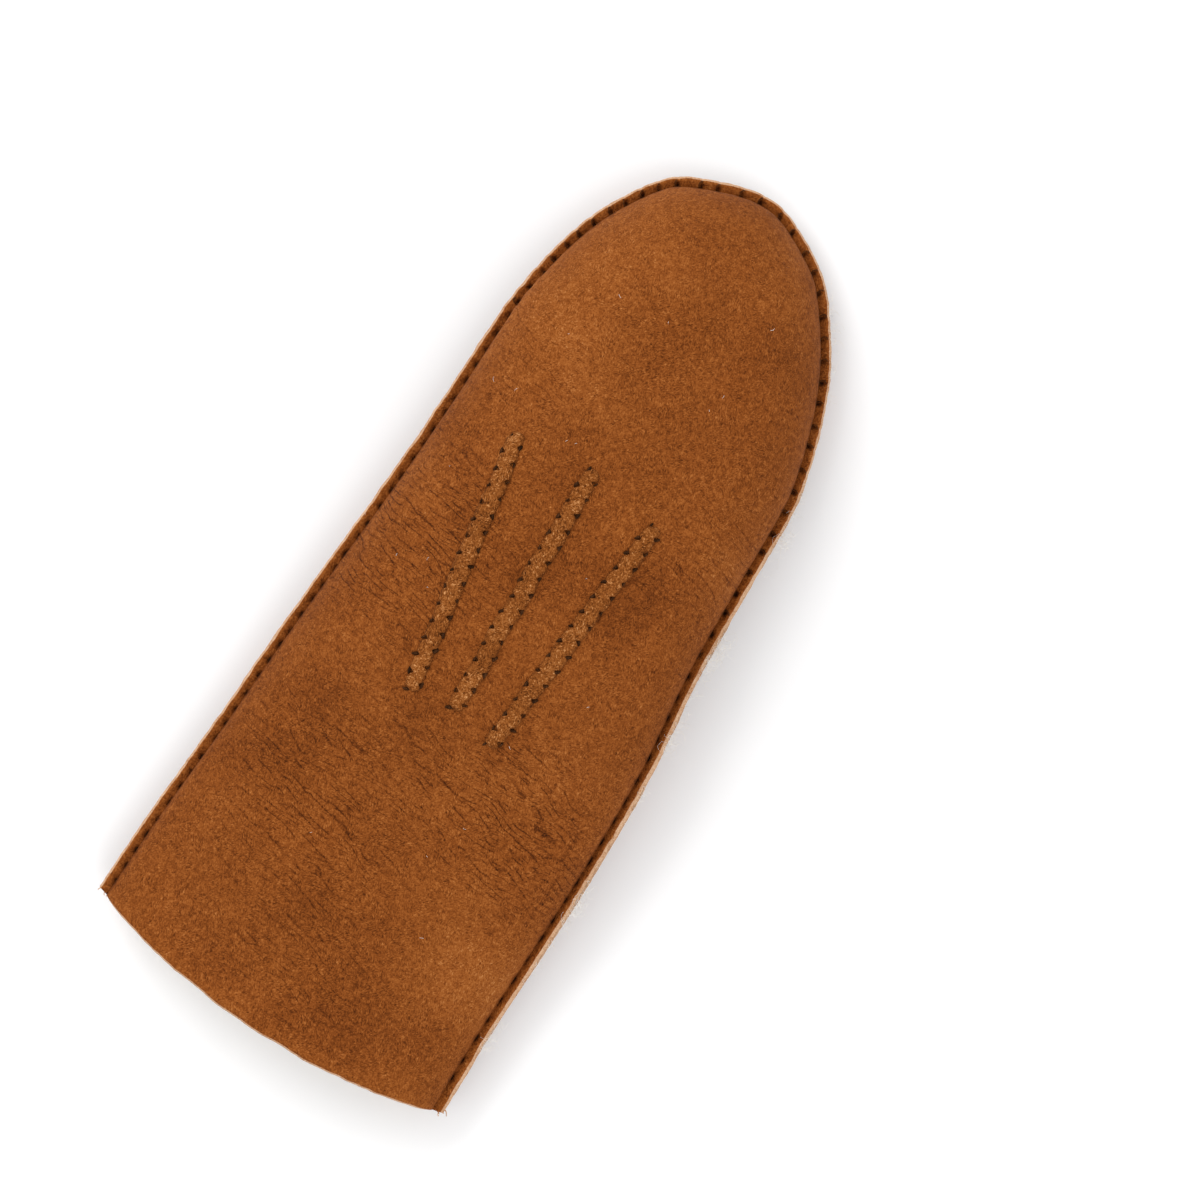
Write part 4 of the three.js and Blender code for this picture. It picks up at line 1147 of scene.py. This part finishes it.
def point_strip(number, low, high):
    """One point from low to high on the back, and the places and directions of its stitches.

    Its section is a dome that each hole pinches at its side; the last two points of a section are sunk in
    the back. Its height is measured from the back's own surface, so it follows the wrinkles.
    """

    def wander(far):
        """How far the sewn fold strays from its line."""
        return 0.16 * field(far, 12, 63 + number)

    low, high = np.array(low), np.array(high)
    size = np.linalg.norm(high - low)
    way = (high - low) / size
    across = np.array([way[1], -way[0]])
    far = np.linspace(0, size, int(size / POINT_STEP))
    full = np.clip(np.sin(math.pi * (0.012 + far / size * 0.976)), 0, 1) ** 0.10
    end = np.minimum(1, np.sqrt(np.clip(np.minimum(far, size - far), 0.002, 1)))
    half_section = np.array([0.14, 0.40, 0.62, 0.80, 0.93, 0.99, 1.0])
    offsets = np.concatenate([-half_section[::-1], half_section])
    side, aside = np.sign(offsets), np.abs(offsets)
    phase = np.where(side < 0, *HOLE_STARTS)
    holes = np.cos(2 * math.pi * (far[:, None] / POINT_PITCH - phase))
    two_sides = np.stack([far[:, None] * side, far[:, None] + 0 * side], -1)
    pinch = np.clip(holes, 0, 1) ** 4 * (1 + 0.3 * field(two_sides, 4, 80 + number))
    rough = 0.10 * field(np.stack([far, far * 0 + number * 40], 1), 1.1, 60)[:, None] * aside
    wide = POINT_HALF * full[:, None] * end[:, None] + 0.28 - 0.85 * pinch + rough
    sideways = offsets * wide + wander(far[:, None])[:, None]
    spots = low + way * far[:, None, None] + across * sideways[..., None]
    ground = back_surface(spots.reshape(-1, 2)).reshape(spots.shape[:2])
    dome = (1 - aside ** 5) ** 0.5
    soft = 1 + 0.10 * field(spots, 2.6, 70 + number) + 0.05 * field(spots, 0.9, 73)
    tall = POINT_HEIGHT * dome * (end ** 0.8)[:, None] * soft * (1 - 0.55 * pinch * aside ** 2.5)
    tall = np.where(aside > 0.995, -0.25, tall)
    top = np.concatenate([spots, (ground + tall)[..., None]], -1)
    sunk = top[:, [-1, 0]] - np.array([0, 0, 0.35])
    sections = np.concatenate([top, sunk], 1)
    stations, columns = sections.shape[:2]
    # The top of the fold is a little lighter in colour; the darkening towards its flanks is painted shade
    # where the fold meets the back.
    tone_across = np.append(0.2 - 0.8 * aside ** 6, [0, 0])
    values = {
        "tone": np.tile(tone_across, stations) + 0.25 * np.repeat(field(far[:, None], 9, 77), columns),
        "creased": np.zeros(stations * columns),
        # dark: painted shade in the holes that pinch the fold
        "dark": np.concatenate([0.95 * pinch * (aside > 0.85), np.zeros((stations, 2))], 1).reshape(-1),
    }
    strip = swept(f"point_{number + 1}", sections, np.zeros(columns, int), [point_suede, cut_edge], values)
    holes = []
    for hole_side, start in zip((-1, 1), HOLE_STARTS):
        for at in (np.arange(int(size / POINT_PITCH) + 1) + start) * POINT_PITCH:
            if at <= size + 0.3:
                beside = POINT_HALF - 0.10 if 1.5 < at < size - 1.5 else 1.4
                spot = low + way * at + across * (hole_side * beside + wander(np.array([at])))
                holes.append((spot, way + across * 0.35))
    return strip, holes


point_holes = []
for number, (low, high) in enumerate(point_ends):
    strip, found = point_strip(number, low, high)
    point_holes += found
    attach(strip, "root")
print(len(point_holes), "holes along the points")

# %% [markdown]
# ## Stitches
# One short stitch is modelled from a sphere and copied to every place. Along the sides of the hand the
# thread lies in the groove of the seam and shows as long dark dashes. Round the tip each stitch crosses the
# border and pulls a notch into it.


# %% Helper: copies of one small piece
def one_stitch(name, long, thick, flat, material):
    """A short stitch along x: a sphere drawn out long, its two ends pulled down into their holes."""
    bpy.ops.object.select_all(action="DESELECT")
    bpy.ops.mesh.primitive_uv_sphere_add(segments=8, ring_count=6, radius=0.5 * MM, location=(0, 0, 0))
    made = bpy.context.object
    made.name = name
    bpy.ops.object.mode_set(mode="EDIT")
    bpy.ops.mesh.select_all(action="SELECT")
    bpy.ops.transform.rotate(value=math.pi / 2, orient_axis="Y", center_override=(0, 0, 0))
    bpy.ops.transform.resize(value=(long, thick, flat), center_override=(0, 0, 0))
    for reach, down in ((0.20, 0.05), (0.36, 0.20)):  # shares of the stitch's length and height
        bpy.ops.mesh.select_all(action="DESELECT")
        bpy.ops.object.mode_set(mode="OBJECT")
        for corner in made.data.vertices:
            corner.select = abs(corner.co.x) > reach * long * MM
        bpy.ops.object.mode_set(mode="EDIT")
        bpy.ops.transform.translate(value=(0, 0, -down * flat * MM))
    bpy.ops.object.mode_set(mode="OBJECT")
    bpy.ops.object.shade_smooth()
    made.data.materials.append(material)
    print(f"{name}: {len(made.data.polygons)} faces, {1000 * made.dimensions.x:.1f} mm long")
    return made


def copies(name, source, places):
    """Copies of the source at places (spot, direction, up, size), joined. The source is removed."""
    made = []
    for spot, direction, up, size in places:
        x = Vector(direction).normalized()
        z = Vector(up)
        y = z.cross(x).normalized()
        z = x.cross(y)
        matrix = Matrix((x, y, z)).transposed() * size
        copy = bpy.data.objects.new(name, source.data.copy())
        copy.data.transform(Matrix.Translation(Vector(spot) * MM) @ matrix.to_4x4())
        bpy.context.scene.collection.objects.link(copy)
        made.append(copy)
    bpy.data.objects.remove(source)
    bpy.ops.object.select_all(action="DESELECT")
    for copy in made:
        copy.select_set(True)
    bpy.context.view_layer.objects.active = made[0]
    bpy.ops.object.join()
    joined = bpy.context.object
    joined.select_set(False)
    joined.name = joined.data.name = name
    print(f"{name}: {len(made)} copies, {sum(len(p.vertices) - 2 for p in joined.data.polygons)} triangles")
    return joined


print("holes to sew:", len(point_holes), "on the points and", len(stitches), "along the seam")


# %% [markdown]
# ### Thread of the points
# Each hole along a point holds one tight stitch of near-black thread, which also stands for the painted shade
# of the hole. The stitches lean a little at random, and each lies on the back's own surface, so it follows the
# wrinkles.

# %% Dark thread in the holes of the points
rng = np.random.default_rng(21)
places = []
for spot, direction in point_holes:
    z = back_surface(spot[None])[0] + rng.uniform(0.25, 0.5)
    tilt = direction + rng.normal(0, 0.45, 2)
    places.append(((*spot, z), (*tilt, rng.uniform(-0.15, 0.15)), (0, 0, 1), rng.uniform(0.55, 1.1)))
point_thread_and_shade = copies("point_thread_and_shade", one_stitch("point_stitch", 2.3, 0.95, 0.8, thread_and_painted_shade), places)
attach(point_thread_and_shade, "root")

# %% [markdown]
# ### Thread of the seam
# On the sides the thread lies along the groove and shows as dashes. Round the tip it bends over the edge, so
# there each stitch is a path of a few spots in the shape of a hook, which becomes a tube further on. Copies
# of a straight stitch could not lie down into the notches.


# %% Helper: a place on the border
def seam_spot(far, q, h, side=1):
    """A place on the border: at a distance along the seam, q outwards and h up from the seam."""
    found = {name: np.stack([np.interp(far, outline_far, outline[name][:, k]) for k in (0, 1)], -1)[None]
             for name in ("root", "edge")}
    found.update({name: np.interp([far], outline_far, outline[name]) for name in ("seam", "turn")})
    foot = lengths(found)[0] - BORDER
    turn = found["turn"][0]
    r = foot + q * math.cos(turn) - side * h * math.sin(turn)
    z = found["seam"][0] + q * math.sin(turn) + side * h * math.cos(turn)
    return place(found, np.array([[r]]), np.array([[z]]))[0, 0]


print("the border's groove 100 mm along the seam:", seam_spot(100.0, 0.25, 0.72).round(1))

# %% Thread along the seam of the hand
HOOK_STATIONS, HOOK_RADIUS = 11, 0.26
GROOVE_OUT, GROOVE_UP = 0.25, 0.72  # where the long stitches lie, from the seam
long_places, hooks, thin_places = [], [], []
for far in stitches:
    if rng.uniform() > stitch_kind(far):
        here = seam_spot(far, GROOVE_OUT, GROOVE_UP)
        along_seam = seam_spot(far + 0.5, GROOVE_OUT, GROOVE_UP) - here
        size = rng.uniform(0.75, 1.1) * (1.0 if far < 250 else 0.8)
        here, along_seam = here + rng.normal(0, 0.08, 3), along_seam + rng.normal(0, 0.04, 3)
        long_places.append((here, along_seam, (0, 0, 1), size))
    else:
        angle = np.radians(np.linspace(80, 290, HOOK_STATIONS) + rng.uniform(-30, 30))
        beside, out = 0.80 * np.cos(angle), 0.95 + rng.uniform(0.80, 1.05) * np.sin(angle)
        up = np.interp(out, border_rows["out"][2:7], border_rows["up"][2:7])
        up = up - 0.75 * np.exp(-(beside / 0.65) ** 2) * (1 - ease(out, 0.8, 1.95)) + 0.03
        hooks.append([seam_spot(far + a, q, h) for a, q, h in zip(beside, out, up)])
        between = seam_spot(far + 1.2, 0.1, GROOVE_UP)
        onwards = seam_spot(far + 2.2, 0.3, 0.8) - between
        thin_places.append((between, onwards, (0, 0, 1), rng.uniform(0.8, 1.2)))
# The long stitches use the near-black thread, whose colour is the thread together with painted shade of the
# groove.
for name, source, places, material in (
    ("seam_thread_sides", (2.3, 0.44, 0.5), long_places, thread_and_painted_shade),
    ("seam_thread_between", (2.4, 0.34, 0.34), thin_places, red_thread),
):
    thread = copies(name, one_stitch(name + "_one", *source, material), places)
    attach(thread, "root")

# %% [markdown]
# ## Thumb
# The thumb is a leaf-shaped bag of two skins, folded flat under the palm, so the hand rests on it. Its outer
# skin is drawn onto the palm's lip round the thumb hole, and its inner skin ends at the mouth of the thumb.


# %% Loft the two skins of the thumb
def thumb_outer_height(spokes, spots, share, inset=0.0):
    """Height of the skin that lies on the table; where it hangs on the palm it falls more roundly."""
    foot = seam_foot(spokes, -1, inset)
    fullness = (THUMB_FULLNESS - (THUMB_FULLNESS - BASE_FULLNESS) * spokes["join"])[:, None]
    return foot + (inset - foot) * resting(share, fullness)


def thumb_inner_height(spokes, spots, share, inset=0.0):
    """Height of the skin that lies under the palm, a lap below it."""
    foot = seam_foot(spokes, 1, inset)
    return foot + (bed(spots) - THUMB_LAP - inset - foot) * resting(share, THUMB_FULLNESS)


def thumb_skin(name, side, height, hole, seed):
    """One of the thumb's two skins, soft towards its middle and taut at its seam."""
    ring, shares = thumb_spokes(90, 44), spread(26)
    grain = layer(ring, side, height, shares, bowed=False)
    flesh = layer(ring, side, height, shares, LEATHER, bowed=False)
    groove, behind = tucked_rows(ring, side, bowed=False)
    lift = wrinkle(grain, seed, 0.5)[..., None] * (1 - ease(shares, 0.5, 1.0))[:, None]
    normals = net_normals(grain, side)
    grain, flesh = grain + normals * lift, flesh + normals * lift
    grain[..., 2], flesh[..., 2] = np.maximum(grain[..., 2], ON_TABLE), np.maximum(flesh[..., 2], 0.7)
    outer, inner = np.concatenate([grain, groove], 1), np.concatenate([flesh, behind], 1)
    values = {
        "tone": 0.4 * field(outer[..., :2], 18, seed + 5),
        "creased": np.full(outer.shape[:2], 0.5),
        # dark: painted shade at the foot of the seam
        "dark": np.tile(ease(np.append(shares, [1.0, 1.0]), 0.97, 1.0) * 0.9, (len(ring["seam"]), 1)),
    }
    return skin(name, outer, inner, [palm_suede, cut_edge, flesh_side], True, hole, values)


right, left = (beside_foot(thumb_side(end + CLEAR / thumb_length, side), BORDER)[0]
               for end, side in ((JOIN_RIGHT, 1), (JOIN_LEFT, -1)))
mouth = mouth_line(right, left)
backwards = on_track(0.0)[1].reshape(2) * -2 * THUMB_WIDTH
root_side = np.vstack([mouth, mouth[-1] + backwards, mouth[0] + backwards]) + SHIFT[:2]
thumb_outer = thumb_skin("thumb_outer_skin", -1, thumb_outer_height, None, 81)
thumb_inner = thumb_skin("thumb_inner_skin", 1, thumb_inner_height, root_side, 91)
for piece, replaced in ((thumb_outer, "thumb_outer_leather"), (thumb_inner, "thumb_inner_leather")):
    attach(piece, "root")
    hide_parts(replaced)

# %% [markdown]
# ### Edges of the thumb
# The thumb has the hand's border where it is free. Where it joins the palm, the palm's skin is turned down
# round the hole in a lip, and the thumb's outer skin is sewn to that lip. The lip is a strip like the
# border, with a section of its own, and it fades out towards its two ends at the thumb's mouth.

# %% Borders of the thumb
ring = thumb_spokes(200, 90)
free = in_a_row(thumb_side(np.linspace(JOIN_RIGHT + 0.01, 1, 130), 1), thumb_cap(1, THUMB_TIP, 90),
                thumb_side(np.linspace(1, JOIN_LEFT + 0.01, 150), -1))
no_pull = [np.zeros(len(part["seam"])) for part in (ring, free)]
thumb_border = border("thumb_outer_border", ring, -1, seam_length(ring), no_pull[0], palm_suede, bowed=False,
                      closed=True, seed=14)
free_border = border("thumb_inner_border", free, 1, seam_length(free), no_pull[1], palm_suede, bowed=False,
                     seed=17)

# %% Lip of the thumb hole
# One section of the lip: out from the thumb hole, up as a share of the lip's height, and the face's slot.
lip_rows = table("out up slot", [
    (0.00, 1.00, 2), (0.00, 0.50, 2), (0.00, 0.06, 1), (0.25, 0.00, 1), (0.75, 0.00, 1), (1.20, 0.00, 1),
    (1.45, 0.06, 0), (1.45, 0.50, 0), (1.45, 1.00, 0),
])
lip_spokes = base_spokes(MOUTH_LAP, 60)
foot = (lengths(lip_spokes) - BORDER)[:, None]
top = (skin_height(beside_foot(lip_spokes, 0), -1, palm_height) + 0.52)[:, None]
low = np.minimum((lip_spokes["seam"] - (REACH + BORDER) * lip_spokes["join"])[:, None], top - 0.8)
lip_far = seam_length(lip_spokes)[:, None]
end_fade = 1 - ease(np.minimum(lip_far, lip_far[-1] - lip_far), -1.0, 6.0)
low = low + (top - 0.6 - low) * end_fade
lip_points = place(lip_spokes, foot + lip_rows["out"], low + (top - low) * lip_rows["up"], bowed=False)
lip = swept("thumb_hole_lip", lip_points, lip_rows["slot"].astype(int), [palm_suede, cut_edge, flesh_side],
            {key: np.zeros(lip_points[..., 0].size) for key in ("tone", "creased", "dark")})
for piece in (thumb_border, free_border, lip):
    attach(piece, "root")

# %% [markdown]
# ## Wool
# The wool is a pile that stands on the flesh side of the skins. Deep inside, nobody can tell its curls
# apart, so there it is a lumpy body made from the solid. At the cuff it is seen from close by, so loose
# curls stand on that body.


# %% Lumpy body of the wool
LUMP_SIZE, LUMP_HEIGHT = 4.2, 1.5  # millimetres


def wool_body(name, voxel):
    """The solid's own form, remeshed to squares of about a voxel in millimetres, with lumps on it."""
    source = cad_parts[name]
    bpy.ops.object.select_all(action="DESELECT")
    bpy.ops.mesh.primitive_cube_add(size=0.001, location=(0, 0, 0))
    body = bpy.context.object
    body.name = name.replace("fleece", "wool")
    mesh = source.data.copy()
    mesh.transform(source.matrix_world)
    mesh.materials.clear()
    mesh.materials.append(wool_pile)
    body.data = mesh
    bpy.ops.object.mode_set(mode="EDIT")
    bpy.ops.mesh.select_all(action="SELECT")
    bpy.ops.mesh.remove_doubles(threshold=0.00001)
    bpy.ops.object.mode_set(mode="OBJECT")
    remesh = body.modifiers.new("Remesh", "REMESH")
    remesh.mode = "VOXEL"
    remesh.voxel_size = voxel * MM
    smooth = body.modifiers.new("Smooth", "SMOOTH")
    smooth.iterations = 2
    smooth.factor = 0.5
    clouds = bpy.data.textures.new(name + "_lumps", "CLOUDS")
    clouds.noise_scale = LUMP_SIZE * MM
    clouds.noise_depth = 3
    lumps = body.modifiers.new("Lumps", "DISPLACE")
    lumps.texture = clouds
    lumps.strength = LUMP_HEIGHT * MM
    lumps.mid_level = 0.45
    for modifier in [m.name for m in body.modifiers]:
        bpy.ops.object.modifier_apply(modifier=modifier)
    bpy.ops.object.shade_smooth()
    body.select_set(False)
    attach(body, "root")
    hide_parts(name)
    print(f"{body.name}: {sum(len(p.vertices) - 2 for p in body.data.polygons)} triangles")
    return body


wool = {name: wool_body(name, voxel) for name, voxel in (
    ("back_fleece", 1.15), ("palm_fleece", 1.15), ("thumb_outer_fleece", 1.0), ("thumb_inner_fleece", 1.0))}


# %% [markdown]
# ### Curls
# Wool stands in curly locks. Blender's hair could grow them, but its strands aren't meshes, and the part has
# to be complete as meshes. So each curl is a thin tube with three sides, and all tubes of one kind are one
# piece. The curls' paths wind round their own line, and numpy works them all out at once.


# %% Helper: tubes along many paths
def tubes(name, paths, radii, material):
    """Thin three-sided tubes along many paths at once: paths is curves x stations x 3, in millimetres."""
    curves, stations = paths.shape[:2]
    way = np.gradient(paths, axis=1)
    way /= np.linalg.norm(way, axis=-1, keepdims=True) + 1e-9
    helper = np.where(np.abs(way[..., 2:]) > 0.9, [1.0, 0, 0], [0, 0, 1.0])
    a = np.cross(way, helper)
    a /= np.linalg.norm(a, axis=-1, keepdims=True) + 1e-9
    b = np.cross(way, a)
    angle = np.arange(3) * 2 * math.pi / 3
    ring = paths[:, :, None] + radii[:, :, None, None] * (
        a[:, :, None] * np.cos(angle)[:, None] + b[:, :, None] * np.sin(angle)[:, None])
    counts = (curves, stations - 1, 3)
    curve, station, corner = np.meshgrid(*(np.arange(count) for count in counts), indexing="ij")
    base = (curve * stations + station) * 3
    ahead = (corner + 1) % 3
    quads = np.stack([base + corner, base + ahead, base + 3 + ahead, base + 3 + corner], -1).reshape(-1, 4)
    start = np.arange(curves) * stations * 3
    ends = [*np.stack([start + 2, start + 1, start], 1).tolist(),
            *(start[:, None] + (stations - 1) * 3 + np.arange(3)).tolist()]
    faces = quads.tolist() + ends
    return new_piece(name, ring.reshape(-1, 3), faces, np.zeros(len(faces), int), [material])


print("triangles of a tube with 9 stations:", 6 * 8 + 2)


# %% Helper: paths of curls
def curl_paths(roots, normals, long, wind, stations, rng):
    """Curly paths about that long that leave the roots along the normals and wind round their own line."""
    count = len(roots)
    t = np.linspace(0, 1, stations)[None, :, None]
    lean = rng.normal(0, 0.55, (count, 1, 3))
    way = normals[:, None] + lean
    way /= np.linalg.norm(way, axis=-1, keepdims=True)
    side = np.cross(way, rng.normal(size=(count, 1, 3)))
    side /= np.linalg.norm(side, axis=-1, keepdims=True) + 1e-9
    other = np.cross(way, side)
    size = rng.uniform(0.6, 1.2, (count, 1, 1)) * long
    turns = rng.uniform(0.8, 1.7, (count, 1, 1)) * 2 * math.pi
    phase = rng.uniform(0, 2 * math.pi, (count, 1, 1))
    wide = wind * rng.uniform(0.6, 1.2, (count, 1, 1)) * np.minimum(1, t * 3)
    bend = side * size * 0.35 * t ** 2
    swirl = side * np.cos(turns * t + phase) * wide + other * np.sin(turns * t + phase) * wide
    return roots[:, None] + way * size * t + bend + swirl - swirl[:, :1]


print("points of one curl:", curl_paths(np.zeros((1, 3)), np.eye(3)[2:], 2.6, 0.8, 8,
                                        np.random.default_rng(0)).shape[1])


# %% Helper: curls on the wool in the cuff
def cuff_curls(name, body, up, count, seed):
    """Curls on the wool that the open cuff shows. up is 1 where they stand, -1 where they hang."""
    mesh = body.data
    middle, normal, area = (np.empty(len(mesh.polygons) * n, np.float32) for n in (3, 3, 1))
    mesh.polygons.foreach_get("center", middle)
    mesh.polygons.foreach_get("normal", normal)
    mesh.polygons.foreach_get("area", area)
    middle, normal = middle.reshape(-1, 3) / MM, normal.reshape(-1, 3)
    rim = normal[:, 1] < -0.5
    weight = area * ((up * normal[:, 2] > 0.1) | rim) * (1 - ease(middle[:, 1], -112, -70)) * (1 + 9 * rim)
    rng = np.random.default_rng(seed)
    chosen = rng.choice(len(middle), count, p=weight / weight.sum())
    normals = normal[chosen] * np.array([0.6, 0.5, 1.0])
    normals[:, 1] = np.maximum(normals[:, 1], -0.25)
    roots = middle[chosen] - normal[chosen] * 0.3
    paths = curl_paths(roots, normals, 2.6, 0.8, CURL_STATIONS, rng)
    paths[..., 1] = np.maximum(paths[..., 1], np.maximum(roots[:, None, 1] - 1.2, CUFF_END))
    spare = 0.1 + 0.7 * rim[chosen][:, None]
    paths[..., 2] = up * np.maximum(up * paths[..., 2], up * roots[:, None, 2] - spare)
    radii = np.linspace(0.34, 0.12, CURL_STATIONS) * rng.uniform(0.7, 1.2, (count, 1))
    return tubes(name, paths, radii, wool_pile)


print("the wool's bodies:", sorted(wool))

# %% Stitches of the tip, and loose curls in the cuff
CURLS, CURL_STATIONS, FIBRE_STATIONS, CUFF_END = 2300, 8, 9, -135.1
tip_thread = tubes("seam_thread_tip", np.array(hooks), np.full((len(hooks), HOOK_STATIONS), HOOK_RADIUS),
                   brown_thread)
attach(tip_thread, "root")
back_curls = cuff_curls("back_wool_curls", wool["back_fleece"], -1, CURLS, 101)
palm_curls = cuff_curls("palm_wool_curls", wool["palm_fleece"], 1, CURLS, 102)
for piece in (back_curls, palm_curls):
    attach(piece, "root")

# %% [markdown]
# ## Wool that escapes the seam
# Between the two borders a little wool is caught when the skins are sewn together. It shows as single fine
# fibres and, in a few places on the thumb's side, as small tufts.

# %% Tufts and single fibres along the seam
# All are curls of about a millimetre that start at the seam and are then drawn out to their size.
rng = np.random.default_rng(121)
# Each row is a tuft: its distance along the seam, its number of fibres and their length in millimetres.
tufts = [(376, 26, 3.0), (388, 30, 5.0), (424, 40, 6.5), (432, 18, 4.0), (452, 34, 5.0), (470, 12, 3.0),
         (505, 46, 4.5), (523, 18, 3.0), (548, 34, 4.5), (318, 12, 4.0), (328, 12, 4.5), (340, 8, 4.0)]
SINGLE_FIBRES = 150
roots, ways, sizes = [], [], []
for far, count, size in tufts:
    for _ in range(count):
        at = np.clip(far + rng.normal(0, 3.2), 2, SEAM - 2)
        start = seam_spot(at, 2.0, -0.1)
        roots.append(start)
        ways.append(seam_spot(at, 3.0, -0.1) - start + rng.normal(0, 0.35, 3))
        sizes.append(size)
for at in rng.uniform(6, SEAM - 6, SINGLE_FIBRES):
    start = seam_spot(at, 2.2, 0.0)
    roots.append(start)
    ways.append(seam_spot(at, 3.0, 0.1) - start + rng.normal(0, 0.4, 3))
    sizes.append(rng.uniform(1.2, 2.2))
roots, ways, sizes = np.array(roots), np.array(ways), np.array(sizes)
ways /= np.linalg.norm(ways, axis=1, keepdims=True)
paths = curl_paths(roots, ways * 1.5, 0.9, 0.24, FIBRE_STATIONS, rng)
paths = roots[:, None] + (paths - roots[:, None]) * sizes[:, None, None]
paths[..., 2] = np.maximum(paths[..., 2], 0.15)
radii = np.tile(np.linspace(0.050, 0.028, FIBRE_STATIONS), (len(roots), 1))
seam_wool = tubes("seam_wool", paths, radii, wool_fibre)
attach(seam_wool, "root")

# %% [markdown]
# ### Thread ends and lint
# At the two corners of the cuff the sewing thread ends in a frayed tuft. On the nap lie a few bits of lint.
# Both are small, but without them the leather looks too clean to have been worn. They use the same tubes.

# %% Ends of the sewing thread at the corners of the cuff
rng = np.random.default_rng(131)
roots, ways = [], []
for at, step in ((0.7, 1.0), (SEAM - 0.7, -1.0)):
    for _ in range(7):
        start = seam_spot(at + step * rng.uniform(0, 1.2), rng.uniform(0.3, 2.6), rng.uniform(-0.6, 1.0))
        roots.append(start)
        ways.append((rng.normal(0, 0.4) - 0.5 * step, -1.0 + rng.normal(0, 0.3), rng.normal(0, 0.35)))
roots, ways = np.array(roots), np.array(ways)
paths = curl_paths(roots, ways, 2.6, 0.22, FIBRE_STATIONS, rng)
paths[..., 1] = np.maximum(paths[..., 1], -136.2)
radii = np.tile(np.linspace(0.19, 0.12, FIBRE_STATIONS), (len(roots), 1))
corner_thread = tubes("corner_thread", paths, radii, amber_thread)

# %% Lint on the nap
LINT, LINT_STATIONS, LINT_RADIUS = 30, 7, 0.045
spots = np.column_stack([rng.uniform(-46, 44, LINT), rng.uniform(-122, 118, LINT)])
spots = spots[np.hypot(spots[:, 0] / 50, np.maximum(0, spots[:, 1] - 60) / 66) < 0.88]
angle = rng.uniform(0, math.pi, len(spots))
t = np.linspace(-0.5, 0.5, LINT_STATIONS)[None, :, None]
way = np.stack([np.cos(angle), np.sin(angle)], 1)[:, None]
side = np.stack([-np.sin(angle), np.cos(angle)], 1)[:, None]
size = rng.uniform(0.25, 1.5, (len(spots), 1, 1))
plan = spots[:, None] + way * t * size + side * (t ** 2) * size * rng.uniform(-0.8, 0.8, (len(spots), 1, 1))
height = back_surface(plan.reshape(-1, 2)).reshape(plan.shape[:2]) + 0.10
lint = tubes("lint", np.concatenate([plan, height[..., None]], -1),
             np.full((len(spots), LINT_STATIONS), LINT_RADIUS), wool_fibre)
for piece, slot_name in ((corner_thread, "back_suede"), (lint, "wool")):
    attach(piece, "root")

# %% [markdown]
# ## Table and light
# A pale table and large soft lights: the nap has to be read, but no hard shadow should cross it. The main
# light comes from the upper left of the picture, where the photo has its lighter sides.

# %% Table
bpy.ops.object.select_all(action="DESELECT")
bpy.ops.mesh.primitive_plane_add(size=30.0, location=(0, 0, 0))
floor = bpy.context.object
floor.name = "table"
table_white, tree, shader, place_out = principled("table_white")
tone = stepped(tree, noise(tree, place_out, 3.0, 2.0), 0.3, 0.7)
pale = ramp(tree, tone, [(0.0, (0.90, 0.90, 0.905)), (1.0, (0.92, 0.92, 0.925))])
tree.links.new(pale, shader.inputs["Base Color"])
shader.inputs["Roughness"].default_value = 0.9
shader.inputs["Specular IOR Level"].default_value = 0.1
floor.data.materials.append(table_white)
floor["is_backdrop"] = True
print("table:", floor.dimensions.x, "m wide")

# %% Lights
world = bpy.data.worlds.new("bright room")
bpy.context.scene.world = world
world.use_nodes = True
world.node_tree.nodes["Background"].inputs["Color"].default_value = (1.0, 1.0, 1.0, 1.0)
world.node_tree.nodes["Background"].inputs["Strength"].default_value = 0.95


def soft_light(name, spot, size, power):
    """A square area light that points at the mitten."""
    data = bpy.data.lights.new(name, "AREA")
    data.size = size
    data.energy = power
    light = bpy.data.objects.new(name, data)
    light.location = spot
    light.rotation_euler = Vector(spot).to_track_quat("Z", "Y").to_euler()
    bpy.context.scene.collection.objects.link(light)
    return light


main_light = soft_light("main light", (-1.10, 0.45, 1.10), 0.9, 11.0)
fill_light = soft_light("fill light", (1.0, -0.5, 1.2), 1.4, 6.5)
bpy.context.scene.view_settings.view_transform = "Standard"
bpy.context.scene.view_settings.exposure = 0.0
print("lights:", main_light.data.energy, fill_light.data.energy)

# %% [markdown]
# ## Size of the scene
# The finished pieces should fill the same box as the solids; the box of all shown pieces is printed.

low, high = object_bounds()
print("scene in mm: ", [round(v * 1000, 1) for v in (*low, *high)])
